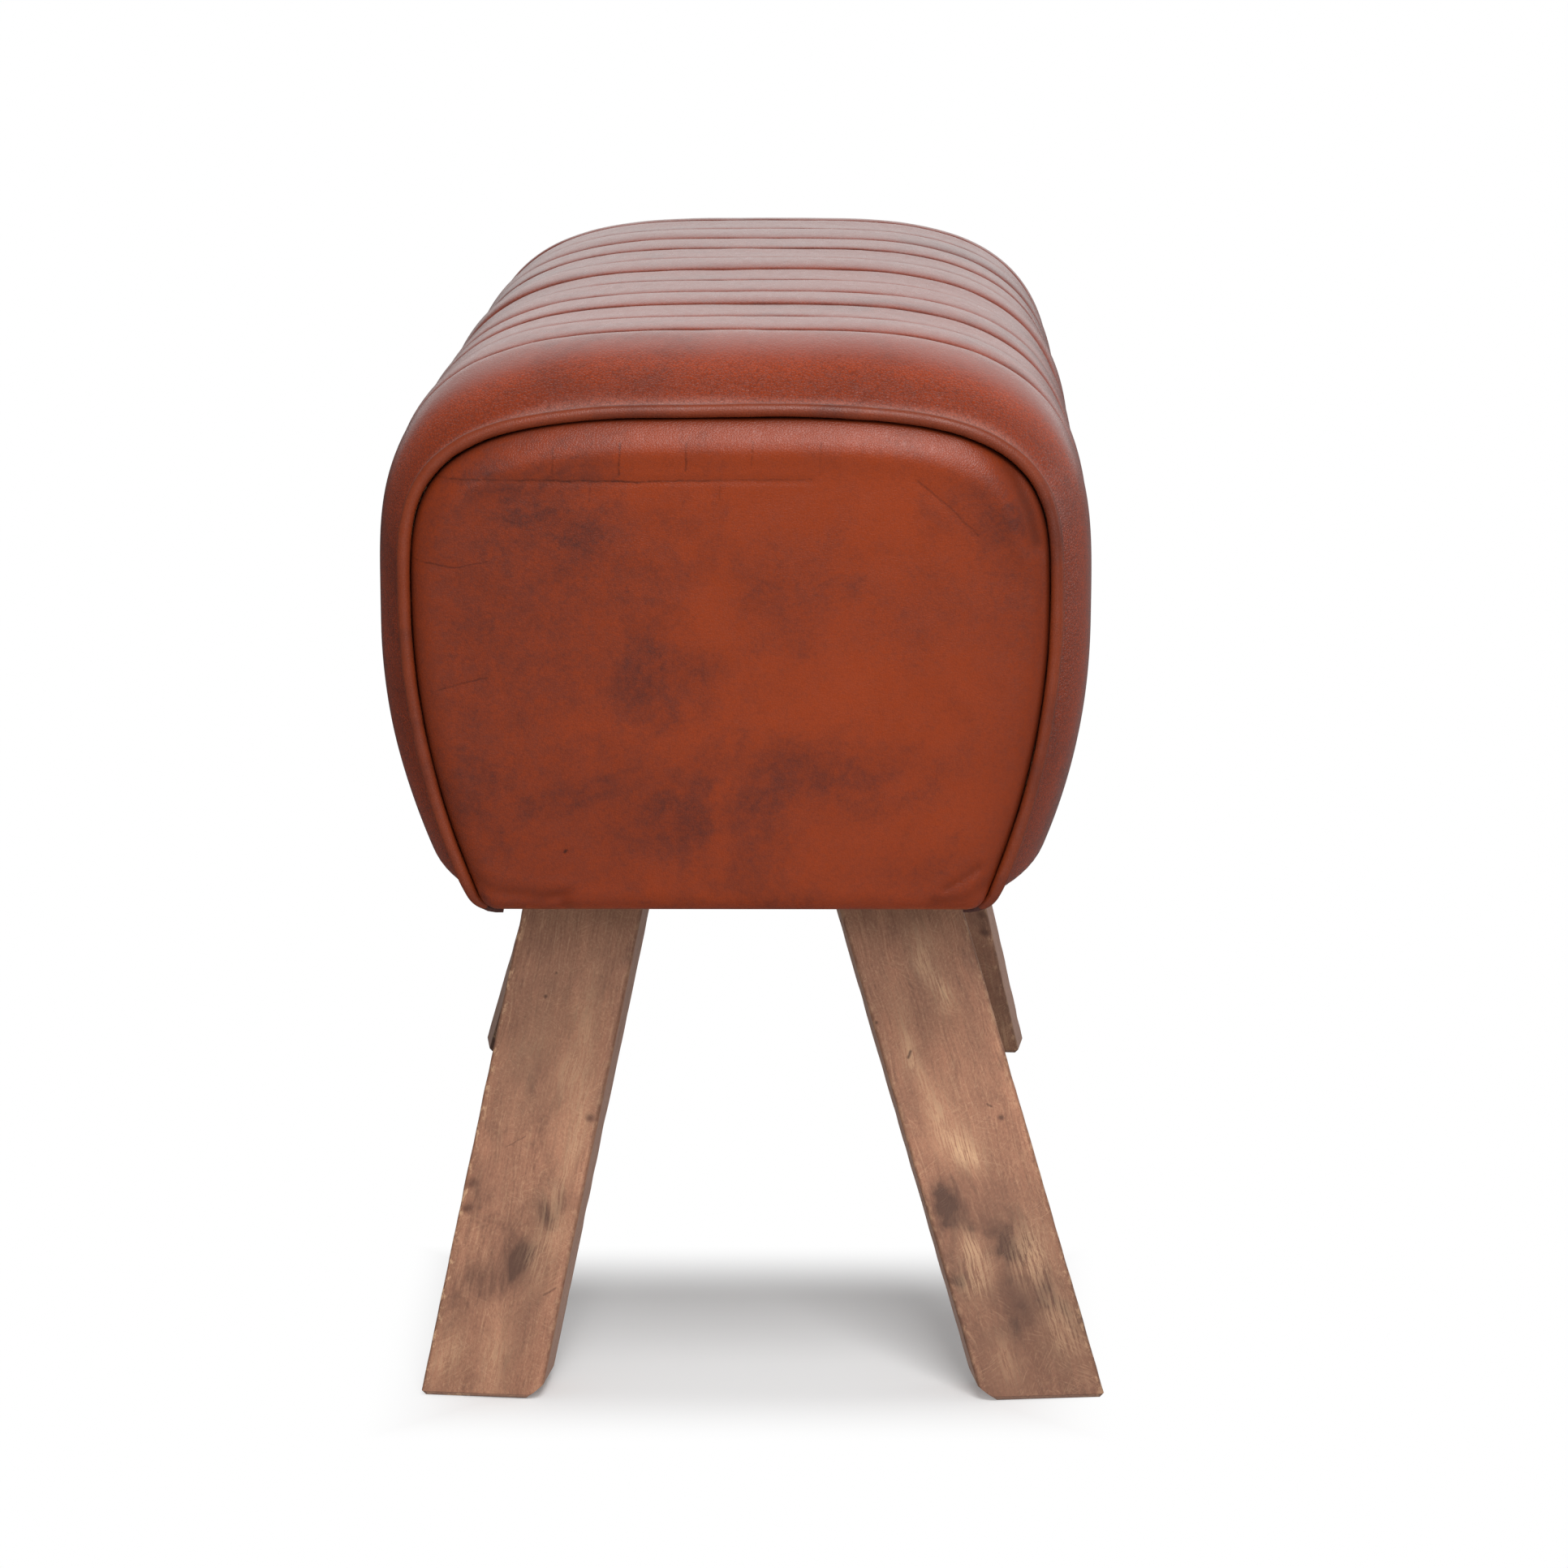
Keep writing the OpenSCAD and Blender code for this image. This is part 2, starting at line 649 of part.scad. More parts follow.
// ---------------------------------------------------------------- underside
tack_len = 14;
tack_shank_d = 1.6;
tack_head_t = 1;
dust_x = rail_in + rail_t - 3;
dust_y = frame_y + former_t / 2;
tack_x = rail_in + (rail_t - turn_in) / 2;
module tack_places() {
  step = 2 * (frame_y - 20) / max(tack_count - 1, 1);
  for (k = [0 : tack_count - 1])
    translate([tack_x, -frame_y + 20 + k * step, base_z - dust_t]) children();
}
module dust_cover() {
  color(black_col) difference() {
    translate([-dust_x, -dust_y, base_z - dust_t]) cube([2 * dust_x, 2 * dust_y, dust_t]);
    four_legs() leg_beam(2, 0);
    for (side = [0, 1]) mirror([side, 0, 0]) tack_places()
      translate([0, 0, -dust_t]) cylinder(h = 3 * dust_t, d = tack_shank_d + fit);
  }
}
module dust_cover_tacks() {
  color(steel_col) for (side = [0, 1]) mirror([side, 0, 0]) tack_places() union() {
    translate([0, 0, -tack_head_t]) cylinder(h = tack_head_t, d = tack_d);
    cylinder(h = tack_len, d = tack_shank_d);
  }
}

leg_front_left();
leg_front_right();
leg_rear_left();
leg_rear_right();
leg_bolts();
leg_bolt_washers();
leg_bolt_nuts();
cross_rail_front();
cross_rail_rear();
side_rail_left();
side_rail_right();
waist_batten_left();
waist_batten_right();
shoulder_batten_left();
shoulder_batten_right();
top_deck();
end_former_front();
end_former_rear();
centre_former();
frame_screws();
cross_rail_screws();
foam_wrap();
foam_edge_front();
foam_edge_rear();
foam_end_front();
foam_end_rear();
channel_backing();
rib_wadding();
ribbed_cover();
plain_band_front();
plain_band_rear();
end_panel_front();
end_panel_rear();
piping_front();
piping_rear();
piping_cord_front();
piping_cord_rear();
dust_cover();
dust_cover_tacks();
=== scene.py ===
import math

import bmesh
import bpy
import numpy as np
from bpy.props import (FloatProperty, FloatVectorProperty, IntProperty, PointerProperty)
from bpy.types import Operator, Panel, PropertyGroup
from mathutils import Matrix, Vector, noise


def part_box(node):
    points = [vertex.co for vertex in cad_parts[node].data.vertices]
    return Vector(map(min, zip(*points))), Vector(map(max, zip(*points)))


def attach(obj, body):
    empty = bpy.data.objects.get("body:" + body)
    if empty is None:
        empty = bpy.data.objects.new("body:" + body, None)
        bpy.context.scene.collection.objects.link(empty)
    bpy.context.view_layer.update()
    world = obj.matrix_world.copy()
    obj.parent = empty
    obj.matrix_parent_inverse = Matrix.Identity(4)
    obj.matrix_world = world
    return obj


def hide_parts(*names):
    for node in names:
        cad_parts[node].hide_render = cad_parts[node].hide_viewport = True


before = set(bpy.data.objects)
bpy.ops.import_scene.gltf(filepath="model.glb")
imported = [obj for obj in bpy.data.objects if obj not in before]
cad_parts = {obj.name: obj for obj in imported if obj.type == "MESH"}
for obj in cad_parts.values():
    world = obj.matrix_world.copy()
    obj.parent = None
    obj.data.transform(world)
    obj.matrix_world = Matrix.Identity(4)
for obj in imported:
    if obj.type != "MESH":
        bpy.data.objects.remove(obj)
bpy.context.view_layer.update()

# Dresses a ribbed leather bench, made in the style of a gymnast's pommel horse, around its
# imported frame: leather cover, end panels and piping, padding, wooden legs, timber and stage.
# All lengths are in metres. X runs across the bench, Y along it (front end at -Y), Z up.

bl_info = {
    "name": "Ribbed leather bench",
    "version": (1, 0, 0),
    "blender": (4, 5, 0),
    "location": "3D View > Sidebar > Bench",
    "description": "Models the leather, padding, legs and finishes of a ribbed bench",
    "category": "Object",
}

COVER_LOW, COVER_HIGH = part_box("ribbed_cover")
DUST_LOW, DUST_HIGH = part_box("dust_cover")
PANEL_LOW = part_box("end_panel_front")[0]
FORMER_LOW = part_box("end_former_front")[0]
DECK_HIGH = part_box("top_deck")[1]
LEG_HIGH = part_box("leg_front_right")[1]
MM = 0.001


def length(name, description, default):
    """A size in metres."""
    return FloatProperty(name=name, description=description, default=default,
                         subtype="DISTANCE", unit="LENGTH", precision=4)


def angle(name, description, degrees):
    """An angle, written in degrees."""
    return FloatProperty(name=name, description=description, default=math.radians(degrees),
                         subtype="ANGLE", unit="ROTATION")


def colour(name, description, default):
    """A colour that is written as it looks, in values from 0 to 255."""
    linear = [c / 255 / 12.92 if c <= 10 else ((c / 255 + 0.055) / 1.055) ** 2.4 for c in default]
    return FloatVectorProperty(name=name, description=description, default=linear,
                               subtype="COLOR", size=3, min=0, max=1)


# ---------------------------------------------------------------- sizes and colours
class BenchBodySizes(PropertyGroup):
    half_width: length("Half width", "From the middle to the widest line", COVER_HIGH.x)
    crown: length("Crown", "Height of the crown above the floor", COVER_HIGH.z)
    base: length("Base", "Height of the underside above the floor", COVER_LOW.z)
    waist: length("Waist", "Height of the widest line above the floor", 0.369)
    fullness: FloatProperty(name="Fullness", description="2 is round, 5 nearly square",
                            default=3.5, min=2, max=5)
    side_radius: length("Side radius", "Radius of the sides below the waist", 0.280)
    corner: length("Lower corner", "Radius of the lower edges at the ends", 0.012)
    full_corner: length("Full corner", "Radius of the lower edges along the ribs", 0.024)
    last_seam: length("Last seam", "From the middle to the last seam", COVER_HIGH.y)
    ribs: IntProperty(name="Ribs", description="Number of padded ribs", default=10, min=1)
    rib_depth: length("Seam depth", "Depth of the seams below the ribs", 0.0043)
    rib_square: FloatProperty(name="Rib squareness", default=4.4, min=1.5, max=6,
                              description="How flat the ribs are between their seams")
    turned: length("Turned edge", "Half width left open under the body", 0.109)
    padding: length("Padding", "From the ribs to the timber", COVER_HIGH.z - DECK_HIGH.z)
    frame_radius: length("Frame side radius", "Radius of the timber frame's sides", 0.640)


class BenchEndSizes(PropertyGroup):
    inset: length("Inset", "How much narrower each side is at the end", 0.0185)
    drop: length("Drop", "How much lower the crown is at the end", 0.0255)
    waist_rise: length("Waist rise", "How much higher the waist is at the end", 0.024)
    side_radius: length("Side radius", "Radius of the end panel's sides", 0.350)
    front: length("Front", "From the middle to the face of the end panel", -PANEL_LOW.y)
    former: length("Former", "From the middle to the face of the end former", -FORMER_LOW.y)
    seam: length("Edge seam", "From the middle to the edge of the plain band", 0.3234)
    roll: length("Band roll", "Rounded edge of the band beside the last seam", 0.020)
    foot: length("Band foot", "Flat strip of the band beside the piping", 0.012)
    piping: length("Piping", "Diameter of the piping", 0.0062)
    leather: length("Leather", "Thickness of the leather", 0.002)
    depth: length("Panel depth", "From the panel's face back to its edge", 0.011)
    top_roll: length("Top roll", "Width of the padded roll along the top", 0.036)
    side_roll: length("Side roll", "Width of the tight edge down the sides", 0.014)
    low_roll: length("Low roll", "Width of the rounded edge along the bottom", 0.013)


class BenchLegSizes(PropertyGroup):
    width: length("Width", "Width of each plank", 0.057)
    thickness: length("Thickness", "Thickness of each plank", 0.026)
    top: length("Top", "Height of the legs' upper ends", LEG_HIGH.z)
    splay: angle("Splay", "Sideways splay of the legs", 14)
    rack: angle("Rack", "Lean of the racked leg set", 2.2)
    rake: angle("Rake", "Lengthwise rake of the legs", 13.5)
    toe: angle("Toe", "Turn of a leg about its own length", 5)
    mid_x: length("Middle across", "Leg's middle at the underside, from the middle", 0.0685)
    mid_y: length("Middle along", "Leg's middle at the underside, from the middle", 0.2214)
    worn: length("Worn edge", "Radius of the planks' worn edges", 0.0014)
    sole_bevel: length("Sole bevel", "Bevel round each sole", 0.0024)
    foot_cut: length("Foot cut", "Corner cut off the inner edge of each foot", 0.007)


class BenchColours(PropertyGroup):
    panel: colour("Panel leather", "End panels", (138, 51, 13))
    # Its clouds also carry the painted shade down the end panels' sides
    panel_dark: colour("Panel patina", "Dark clouds on the end panels", (80, 34, 25))
    cover: colour("Cover leather", "Ribs and bands", (136, 58, 38))
    cover_dark: colour("Cover patina", "Dark clouds on the ribs and bands", (78, 36, 28))
    cover_warm: colour("Warm leather", "Bands beside the piping", (150, 54, 14))
    # A painted sheen: the pale reflection along the bands' foot beside the piping
    cover_painted_sheen: colour("Rubbed leather", "Bands close to the piping", (182, 122, 108))
    trim: colour("Piping leather", "Piping", (120, 48, 20))
    # Also the painted shade down in the seams and in the gap by the piping
    seam: colour("Seam", "Leather down in the seams", (72, 30, 22))
    # Also painted shadow: in the gap by the end panels' piping, on their turned-back lip and in
    # their deepest folds
    antique_and_shade: colour("Antiquing", "Dark wax in deep creases", (38, 15, 11))
    wood: colour("Leg wood", "Main colour of the legs", (166, 115, 89))
    # Also the painted shade laid over the whole of the rear planks
    wood_dark: colour("Smoked wood", "Dark smoky patches of the legs", (88, 60, 48))
    wood_pale: colour("Worn wood", "Scratches and worn edges", (224, 182, 142))
    # Painted light: the narrow faces are coloured lighter for the light they catch
    wood_side_painted_light: colour("Chalky wood", "Narrow faces of the legs", (180, 144, 127))


class BenchStage(PropertyGroup):
    camera_place: FloatVectorProperty(name="Camera", description="Place of the camera",
                                      default=(0.071705, -2.217485, 0.762842),
                                      subtype="TRANSLATION", unit="LENGTH", size=3)
    camera_turn: FloatVectorProperty(name="Camera turn", description="Yaw, pitch and roll",
                                     default=[math.radians(a) for a in (-1.453, 13.486, 0.312)],
                                     subtype="EULER", size=3)
    lens: FloatProperty(name="Lens", description="Focal length in millimetres",
                        default=98.68, min=20)
    sky: FloatProperty(name="Sky", description="Strength of the even light", default=0.50)
    key: FloatProperty(name="Key light", description="Power of the large lamp", default=27)


GROUPS = {"bench_body": BenchBodySizes, "bench_end": BenchEndSizes, "bench_leg": BenchLegSizes,
          "bench_colours": BenchColours, "bench_stage": BenchStage}


def sizes(name):
    """One group of the bench's sizes or colours, as the user has set it."""
    return getattr(bpy.context.scene, name)


# ---------------------------------------------------------------- modelling helpers
def deselect():
    """Leaves edit mode and selects nothing."""
    if bpy.context.object and bpy.context.object.mode != "OBJECT":
        bpy.ops.object.mode_set(mode="OBJECT")
    bpy.ops.object.select_all(action="DESELECT")


def choose(piece):
    """Selects one piece alone and makes it active."""
    deselect()
    piece.select_set(True)
    bpy.context.view_layer.objects.active = piece


def apply_modifier(piece, kind, **settings):
    """Adds a modifier with its settings and applies it."""
    choose(piece)
    modifier = piece.modifiers.new(kind.title(), kind)
    for key, value in settings.items():
        setattr(modifier, key, value)
    bpy.ops.object.modifier_apply(modifier=modifier.name)


def edit_whole(step, **settings):
    """Runs one edit operator on the whole active mesh and turns its faces outward."""
    bpy.ops.object.mode_set(mode="EDIT")
    bpy.ops.mesh.select_all(action="SELECT")
    step(**settings)
    bpy.ops.mesh.normals_make_consistent(inside=False)
    bpy.ops.object.mode_set(mode="OBJECT")


def smooth(piece, degrees=40):
    """Shades a piece smooth, apart from edges sharper than the angle."""
    choose(piece)
    bpy.ops.object.shade_smooth_by_angle(angle=math.radians(degrees))


def spaced(points, count):
    """The same line with evenly spaced points."""
    along = np.r_[0, np.cumsum(np.linalg.norm(np.diff(points, axis=0), axis=1))]
    at = np.linspace(0, along[-1], count)
    return np.column_stack([np.interp(at, along, points[:, k]) for k in range(points.shape[1])])


def outward(line):
    """Normals of a section line that runs from right, over the crown, to left."""
    tangent = np.gradient(line, axis=0)
    tangent /= np.linalg.norm(tangent, axis=1)[:, None]
    return np.column_stack((tangent[:, 1], -tangent[:, 0]))


def shifted(line, y, d):
    """A section line at y, moved out by d."""
    normal = outward(line)
    return np.column_stack((line[:, 0] + normal[:, 0] * d, np.broadcast_to(y, len(line)),
                            line[:, 1] + normal[:, 1] * d))


def wander(points, size, seed=0.0):
    """Smooth random values from -1 to 1 that change over about the given size."""
    lift = Vector((seed * 7.31, seed * 3.17, seed * 5.77))
    flat = [noise.noise(Vector(p) / size + lift) for p in points.reshape(-1, 3)]
    return np.array(flat).reshape(points.shape[:-1])


def ramp(x, low, high):
    """Smooth step from 0 at low to 1 at high."""
    t = np.clip((x - low) / (high - low), 0, 1)
    return t * t * (3 - 2 * t)


def to_line(x, z, points):
    """Distance from each place to a line of points."""
    start = np.asarray(points, float)[:-1]
    run = np.diff(np.asarray(points, float), axis=0)
    away_x, away_z = x[:, None] - start[:, 0], z[:, None] - start[:, 1]
    size = np.maximum((run ** 2).sum(axis=1), 1e-12)
    t = np.clip((away_x * run[:, 0] + away_z * run[:, 1]) / size, 0, 1)
    return np.hypot(away_x - t * run[:, 0], away_z - t * run[:, 1]).min(axis=1)


def mark(piece, name, values):
    """Stores one value for each point, for the materials to read."""
    values = np.asarray(values, np.float32)
    kind, key = ("FLOAT_VECTOR", "vector") if values.shape[-1:] == (3,) else ("FLOAT", "value")
    piece.data.attributes.new(name, kind, "POINT").data.foreach_set(key, values.ravel())


def draped_grid(name, rows, marks=(), closed=False):
    """A grid pulled through rows of points; closed joins its first and last columns."""
    deselect()
    count, across = rows.shape[:2]
    bpy.ops.mesh.primitive_grid_add(x_subdivisions=across - 1, y_subdivisions=count - 1, size=1)
    piece = bpy.context.active_object
    piece.name = piece.data.name = name
    flat = np.empty(count * across * 3, np.float32)
    piece.data.vertices.foreach_get("co", flat)
    grid = flat.reshape(-1, 3)
    column = np.rint((grid[:, 0] + 0.5) * (across - 1)).astype(int)
    row = np.rint((grid[:, 1] + 0.5) * (count - 1)).astype(int)
    piece.data.vertices.foreach_set("co", rows[row, column].astype(np.float32).ravel())
    for key, values in marks:
        mark(piece, key, values[row, column])
    if closed:
        edit_whole(bpy.ops.mesh.remove_doubles, threshold=0.02 * MM)
    piece.data.update()
    return piece


def padded_layer(name, outer, inner):
    """Closed layer between two sets of rows: out along the outer ones, back along the inner."""
    middle = [(outer[k] + inner[k]) / 2 for k in (0, -1)]
    loops = [np.vstack((o, i[::-1], o[:1])) for o, i in zip(outer, inner)]
    caps = [np.vstack((m, m[::-1], m[:1])) for m in middle]
    return draped_grid(name, np.array([caps[0], *loops, caps[1]]), closed=True)


def finish_piece(piece, material, replaced):
    """Gives a piece its finish and puts it in the place of the plain nodes it replaces."""
    piece.data.materials.clear()
    piece.data.materials.append(material)
    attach(piece, "root")
    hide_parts(*replaced)


# ---------------------------------------------------------------- body outlines
# A form is [half width, crown height, waist height, fullness, side radius, lower corner].
def body_form():
    """Outline of the ribbed body."""
    b = sizes("bench_body")
    return np.array([b.half_width, b.crown, b.waist, b.fullness, b.side_radius, b.full_corner])


def end_form():
    """Outline of the end panels and the piping."""
    b, e = sizes("bench_body"), sizes("bench_end")
    return np.array([b.half_width - e.inset, b.crown - e.drop, b.waist + e.waist_rise,
                     b.fullness, e.side_radius, b.corner])


def frame_form():
    """Outline of the timber frame."""
    b = sizes("bench_body")
    return np.array([b.half_width - b.padding, b.crown - b.padding, b.waist, b.fullness,
                     b.frame_radius, b.corner])


def inset(form, d):
    """The same outline, drawn in by d at its top and sides."""
    return form - np.array([d, d, 0, 0, d, 0])


def half_outline(form, floor, corner):
    """Right half of a section, from its lower edge up to the crown."""
    half, crown, waist, fullness, radius = form[:5]
    # The lower arc meets the side arc where both have the same slope
    rise = waist - floor - corner
    lean = math.asin(rise / (radius - corner))
    start = half - radius + math.sqrt((radius - corner) ** 2 - rise ** 2)
    a = np.linspace(-math.pi / 2, -lean, 12)
    edge = np.column_stack((start + corner * np.cos(a), floor + corner + corner * np.sin(a)))
    a = np.linspace(-lean, 0, 40)[1:]
    side = np.column_stack((half - radius + radius * np.cos(a), waist + radius * np.sin(a)))
    a = np.linspace(0, math.pi / 2, 200)[1:]
    top = np.column_stack((half * np.clip(np.cos(a), 0, 1) ** (2 / fullness),
                           waist + (crown - waist) * np.sin(a) ** (2 / fullness)))
    return np.vstack((edge, side, top))


def mirrored(half):
    """Whole line from its right half."""
    return np.vstack((half, (half * [-1, 1])[-2::-1]))


def skin_line(form, turned, count):
    """Line of the leather, from one turned-in edge over the crown to the other."""
    b = sizes("bench_body")
    half = half_outline(form, b.base, form[5])
    turned = min(turned, half[0, 0] - 3 * MM)
    return spaced(mirrored(np.vstack(([turned, b.base], half))), count)


def pad_line(form, lift, count):
    """Line of a padding layer, lift above the underside."""
    b = sizes("bench_body")
    corner = max(form[5] - 1.5 * lift, MM)
    return spaced(mirrored(half_outline(form, b.base + lift, corner)), count)


# ---------------------------------------------------------------- ribbed cover and bands
ACROSS = 221                  # points from one turned-in edge over the crown to the other


def seam_wobble(line, k):
    """How far seam k strays along Y at each point of a section line."""
    at = np.column_stack((line[:, 0], np.full(len(line), 0.31 * k), line[:, 1]))
    return 2.2 * MM * wander(at, 0.11, k) + 0.7 * MM * wander(at, 0.03, k + 40)


def rib_dip(s):
    """How far a rib's skin lies below its middle, where s is 0, and its seams are -1 and 1."""
    b = sizes("bench_body")
    return b.rib_depth * (1 - (1 - np.abs(s) ** b.rib_square) ** (1 / b.rib_square))


def puckers(points, seam_gap, seed):
    """Small gathers that run out from a seam."""
    fine = 0.30 * MM * wander(points, 0.008, seed) * np.exp(-seam_gap / (4 * MM))
    return fine + 0.35 * MM * wander(points, 0.022, seed + 50) * np.exp(-seam_gap / (9 * MM))


def rib_swell(k):
    """How much fuller one rib is than the others."""
    return (0.7 * math.sin(2.6 * k + 1) + 0.5 * math.sin(4.1 * k)) * MM


def along_marks(line):
    """Distance along a section line at each of its points."""
    step = np.linalg.norm(np.diff(line, axis=0), axis=1)
    return np.r_[0, np.cumsum(step)]


def ribbed_rows():
    """Section lines of the ribbed cover from rear to front, with their marks."""
    b = sizes("bench_body")
    line = skin_line(body_form(), b.turned, ACROSS)
    pitch = 2 * b.last_seam / b.ribs
    steps = np.sin(np.linspace(-math.pi / 2, math.pi / 2, 23))
    rows, shade, warm_and_sheen = [], [], []
    side = ramp(np.abs(line[:, 0]), 0.09, 0.15)
    full = 0.35 + 0.65 * ramp(line[:, 1], b.base, b.base + 20 * MM)
    for k in range(b.ribs):
        first, last = seam_wobble(line, k), seam_wobble(line, k + 1)
        for s in steps if k == b.ribs - 1 else steps[:-1]:
            w = (s + 1) / 2
            y = -b.last_seam + pitch * (k + w) + (1 - w) * first + w * last
            base = np.column_stack((line[:, 0], y, line[:, 1]))
            gap = (1 - abs(s)) * pitch / 2
            swell = (1 - s * s) * (1.0 * MM * wander(base, 0.075, 3 + k) + rib_swell(k))
            d = (swell - rib_dip(s) * (1 + 0.35 * side)) * full + puckers(base, gap, 11 + k)
            rows.append(shifted(line, y, d))
            # Painted shade down in each seam
            shade.append(np.full(len(line), math.exp(-(gap / (1.5 * MM)) ** 1.3)))
            warm_and_sheen.append(np.full(len(line), 0.45 * math.exp(-gap / (4 * MM))))
    along = np.tile(along_marks(line), (len(rows), 1))
    return [np.array(v)[::-1] for v in (rows, shade, warm_and_sheen, along)]


def band_rows(outward_by=0.0):
    """Front plain band, from the first seam to the piping."""
    b, e = sizes("bench_body"), sizes("bench_end")
    reach = e.seam - b.last_seam
    wobble = seam_wobble(skin_line(body_form(), b.turned, ACROSS), 0)
    fine = np.linspace(0, 1, 400)
    # How far the body's outline has come towards the end's: quarter round, then a flat foot
    drop = 1 - (1 - np.clip(fine * reach / (reach - e.foot), 0, 1) ** 2) ** 1.1
    drop = np.convolve(np.pad(drop, 20, mode="edge"), np.ones(41) / 41, mode="valid")
    stations = 1 - np.cos(np.linspace(0, math.pi / 2, 34)) ** 1.15
    rows, shade, warm_and_sheen = [], [], []
    for t in np.unique(np.r_[stations, np.linspace(0.78, 1, 12)]):
        f = np.interp(t, fine, drop)
        late = f ** 1.8       # the sides and the lower corners follow later than the crown
        f = np.array([late, f, f, f, late, late])
        form = body_form() * (1 - f) + end_form() * f
        line = skin_line(form, b.turned, ACROSS)
        run = t * reach
        y = -b.last_seam - run + wobble * (1 - t) ** 2
        base = np.column_stack((line[:, 0], y, line[:, 1]))
        dip = 0 if run >= e.roll else rib_dip(1 - run / e.roll)
        d = (ramp(run, reach - e.foot, reach) * 1.8 * MM - dip + puckers(base, run, 5)
             + puckers(base, reach - run, 6) * 0.7
             + 0.8 * MM * wander(base, 0.06, 2) * min(1, run / e.roll) * (1 - t) ** 0.5)
        rows.append(shifted(line, y, d + outward_by))
        # Painted shade down in the first seam and in the gap by the piping
        shade.append(np.full(len(line), math.exp(-run / (1.0 * MM))
                             + 0.9 * math.exp(-(reach - run) / (1.0 * MM))))
        # The warm mark: 0 to 1 the warmer tone, 1 to 2 a darker strip, 2 to 3 a painted sheen
        # beside the piping
        stray = t + 0.06 * wander(base, 0.05, 14)
        warm_and_sheen.append(ramp(stray, 0.32, 0.56) + ramp(stray, 0.52, 0.72)
                    + ramp(stray, 0.78, 0.88))
    along = np.tile(along_marks(skin_line(body_form(), b.turned, ACROSS)), (len(rows), 1))
    return [np.array(v) for v in (rows, shade, warm_and_sheen, along)]


def add_leather(name, rows, shade, warm_and_sheen, along, material, slot, replaced, fill):
    """Lays a skin through section lines and gives it the leather's thickness."""
    piece = draped_grid(name, rows, (("shade", shade), ("warm_and_sheen", warm_and_sheen), ("along", along)))
    apply_modifier(piece, "SOLIDIFY", thickness=sizes("bench_end").leather, offset=-1)
    smooth(piece)
    finish_piece(piece, material, replaced)
    return piece


class BenchRibbedCover(Operator):
    """Sews the ribbed leather cover over the body"""
    bl_idname = "bench.ribbed_cover"
    bl_label = "Ribbed cover"

    def execute(self, context):
        add_leather("ribbed_leather_cover", *ribbed_rows(), cover_leather(), "rib_leather",
                    ["ribbed_cover"], 0.8)
        return {"FINISHED"}


class BenchPlainBands(Operator):
    """Sews a plain leather band to each end of the ribbed cover"""
    bl_idname = "bench.plain_bands"
    bl_label = "Plain bands"

    def execute(self, context):
        rows, shade, warm_and_sheen, along = band_rows()
        for end, turn in (("front", 1), ("rear", -1)):
            order = slice(None, None, turn)
            add_leather(f"plain_leather_band_{end}", (rows * [1, turn, 1])[order], shade[order],
                        warm_and_sheen[order], along[order], cover_leather(), "band_leather",
                        [f"plain_band_{end}"], 0.8)
        return {"FINISHED"}


# ---------------------------------------------------------------- end panels
ROUNDING = 2.1                # shape of a panel's rounded edge, where 2 is a circle
ROLL_SWELL = 2.4 * MM         # how far the roll along a panel's top stands out
GROWTH = (1.3, 1.35, 0.78)    # how much wider, higher and stronger the clouds are drawn
# Folds as [depth, half width, points across and up], in millimetres on the front panel; each
# fold's groove also gets painted shade
FOLDS = (
    (0.4, 1.3, ((-138, 450), (-100, 450), (-60, 449), (-20, 449.5), (37, 449.5))),
    (1.6, 3.8, ((110.5, 471.7), (119.5, 462.7), (127.4, 450), (133.3, 435.4), (137, 420.8))),
    (0.25, 1.3, ((83.6, 449.3), (98.1, 437.3), (110.7, 424.5))),
    (0.2, 1.4, ((-142.5, 413.7), (-122.6, 410))),
    (0.15, 1.4, ((-131.2, 354.4), (-109.2, 360))),
    (0.9, 2.8, ((-115.7, 265.5), (-107.6, 260.9), (-92.9, 259), (-78.1, 258.6),
                (-74.5, 253.3))),
    (0.7, 2.2, ((-87.4, 255.6), (-74.4, 260.2))),
    (0.9, 2.8, ((115.2, 263.4), (106.1, 257.3), (91.4, 255.8))),
    (1.0, 2.0, ((112, 272), (104, 266), (97, 262))),
)
# Dark clouds of old wax as [across, up, width, height, strength], in millimetres
CLOUDS = (
    (-100, 432, 26, 14, 0.6), (-72, 417, 26, 16, 0.8), (-93, 404, 34, 26, 0.9),
    (-112, 372, 40, 34, 0.7), (-84, 366, 26, 18, 0.6), (24, 398, 16, 22, 0.7),
    (87, 389, 30, 16, 0.6), (-22, 369, 12, 7, 0.8), (-36, 353, 22, 12, 0.6),
    (-59, 306, 36, 18, 0.8), (-30, 288, 26, 12, 0.5), (36, 306, 34, 16, 0.5),
    (20, 322, 20, 9, 0.4), (134, 432, 14, 26, 0.8), (124, 448, 16, 14, 0.6),
    (-84, 268, 34, 14, 0.7), (88, 266, 30, 12, 0.6), (96, 318, 14, 8, 0.4),
)


def panel_ring(count):
    """Outer line of an end panel, just inside the middle of the piping."""
    b, e = sizes("bench_body"), sizes("bench_end")
    rim = e.piping / 2 - 0.2 * MM
    half = half_outline(inset(end_form(), rim), b.base + 0.2 * MM, b.corner - rim)
    ring = mirrored(half)
    return spaced(np.vstack((ring, ring[:1])), count)


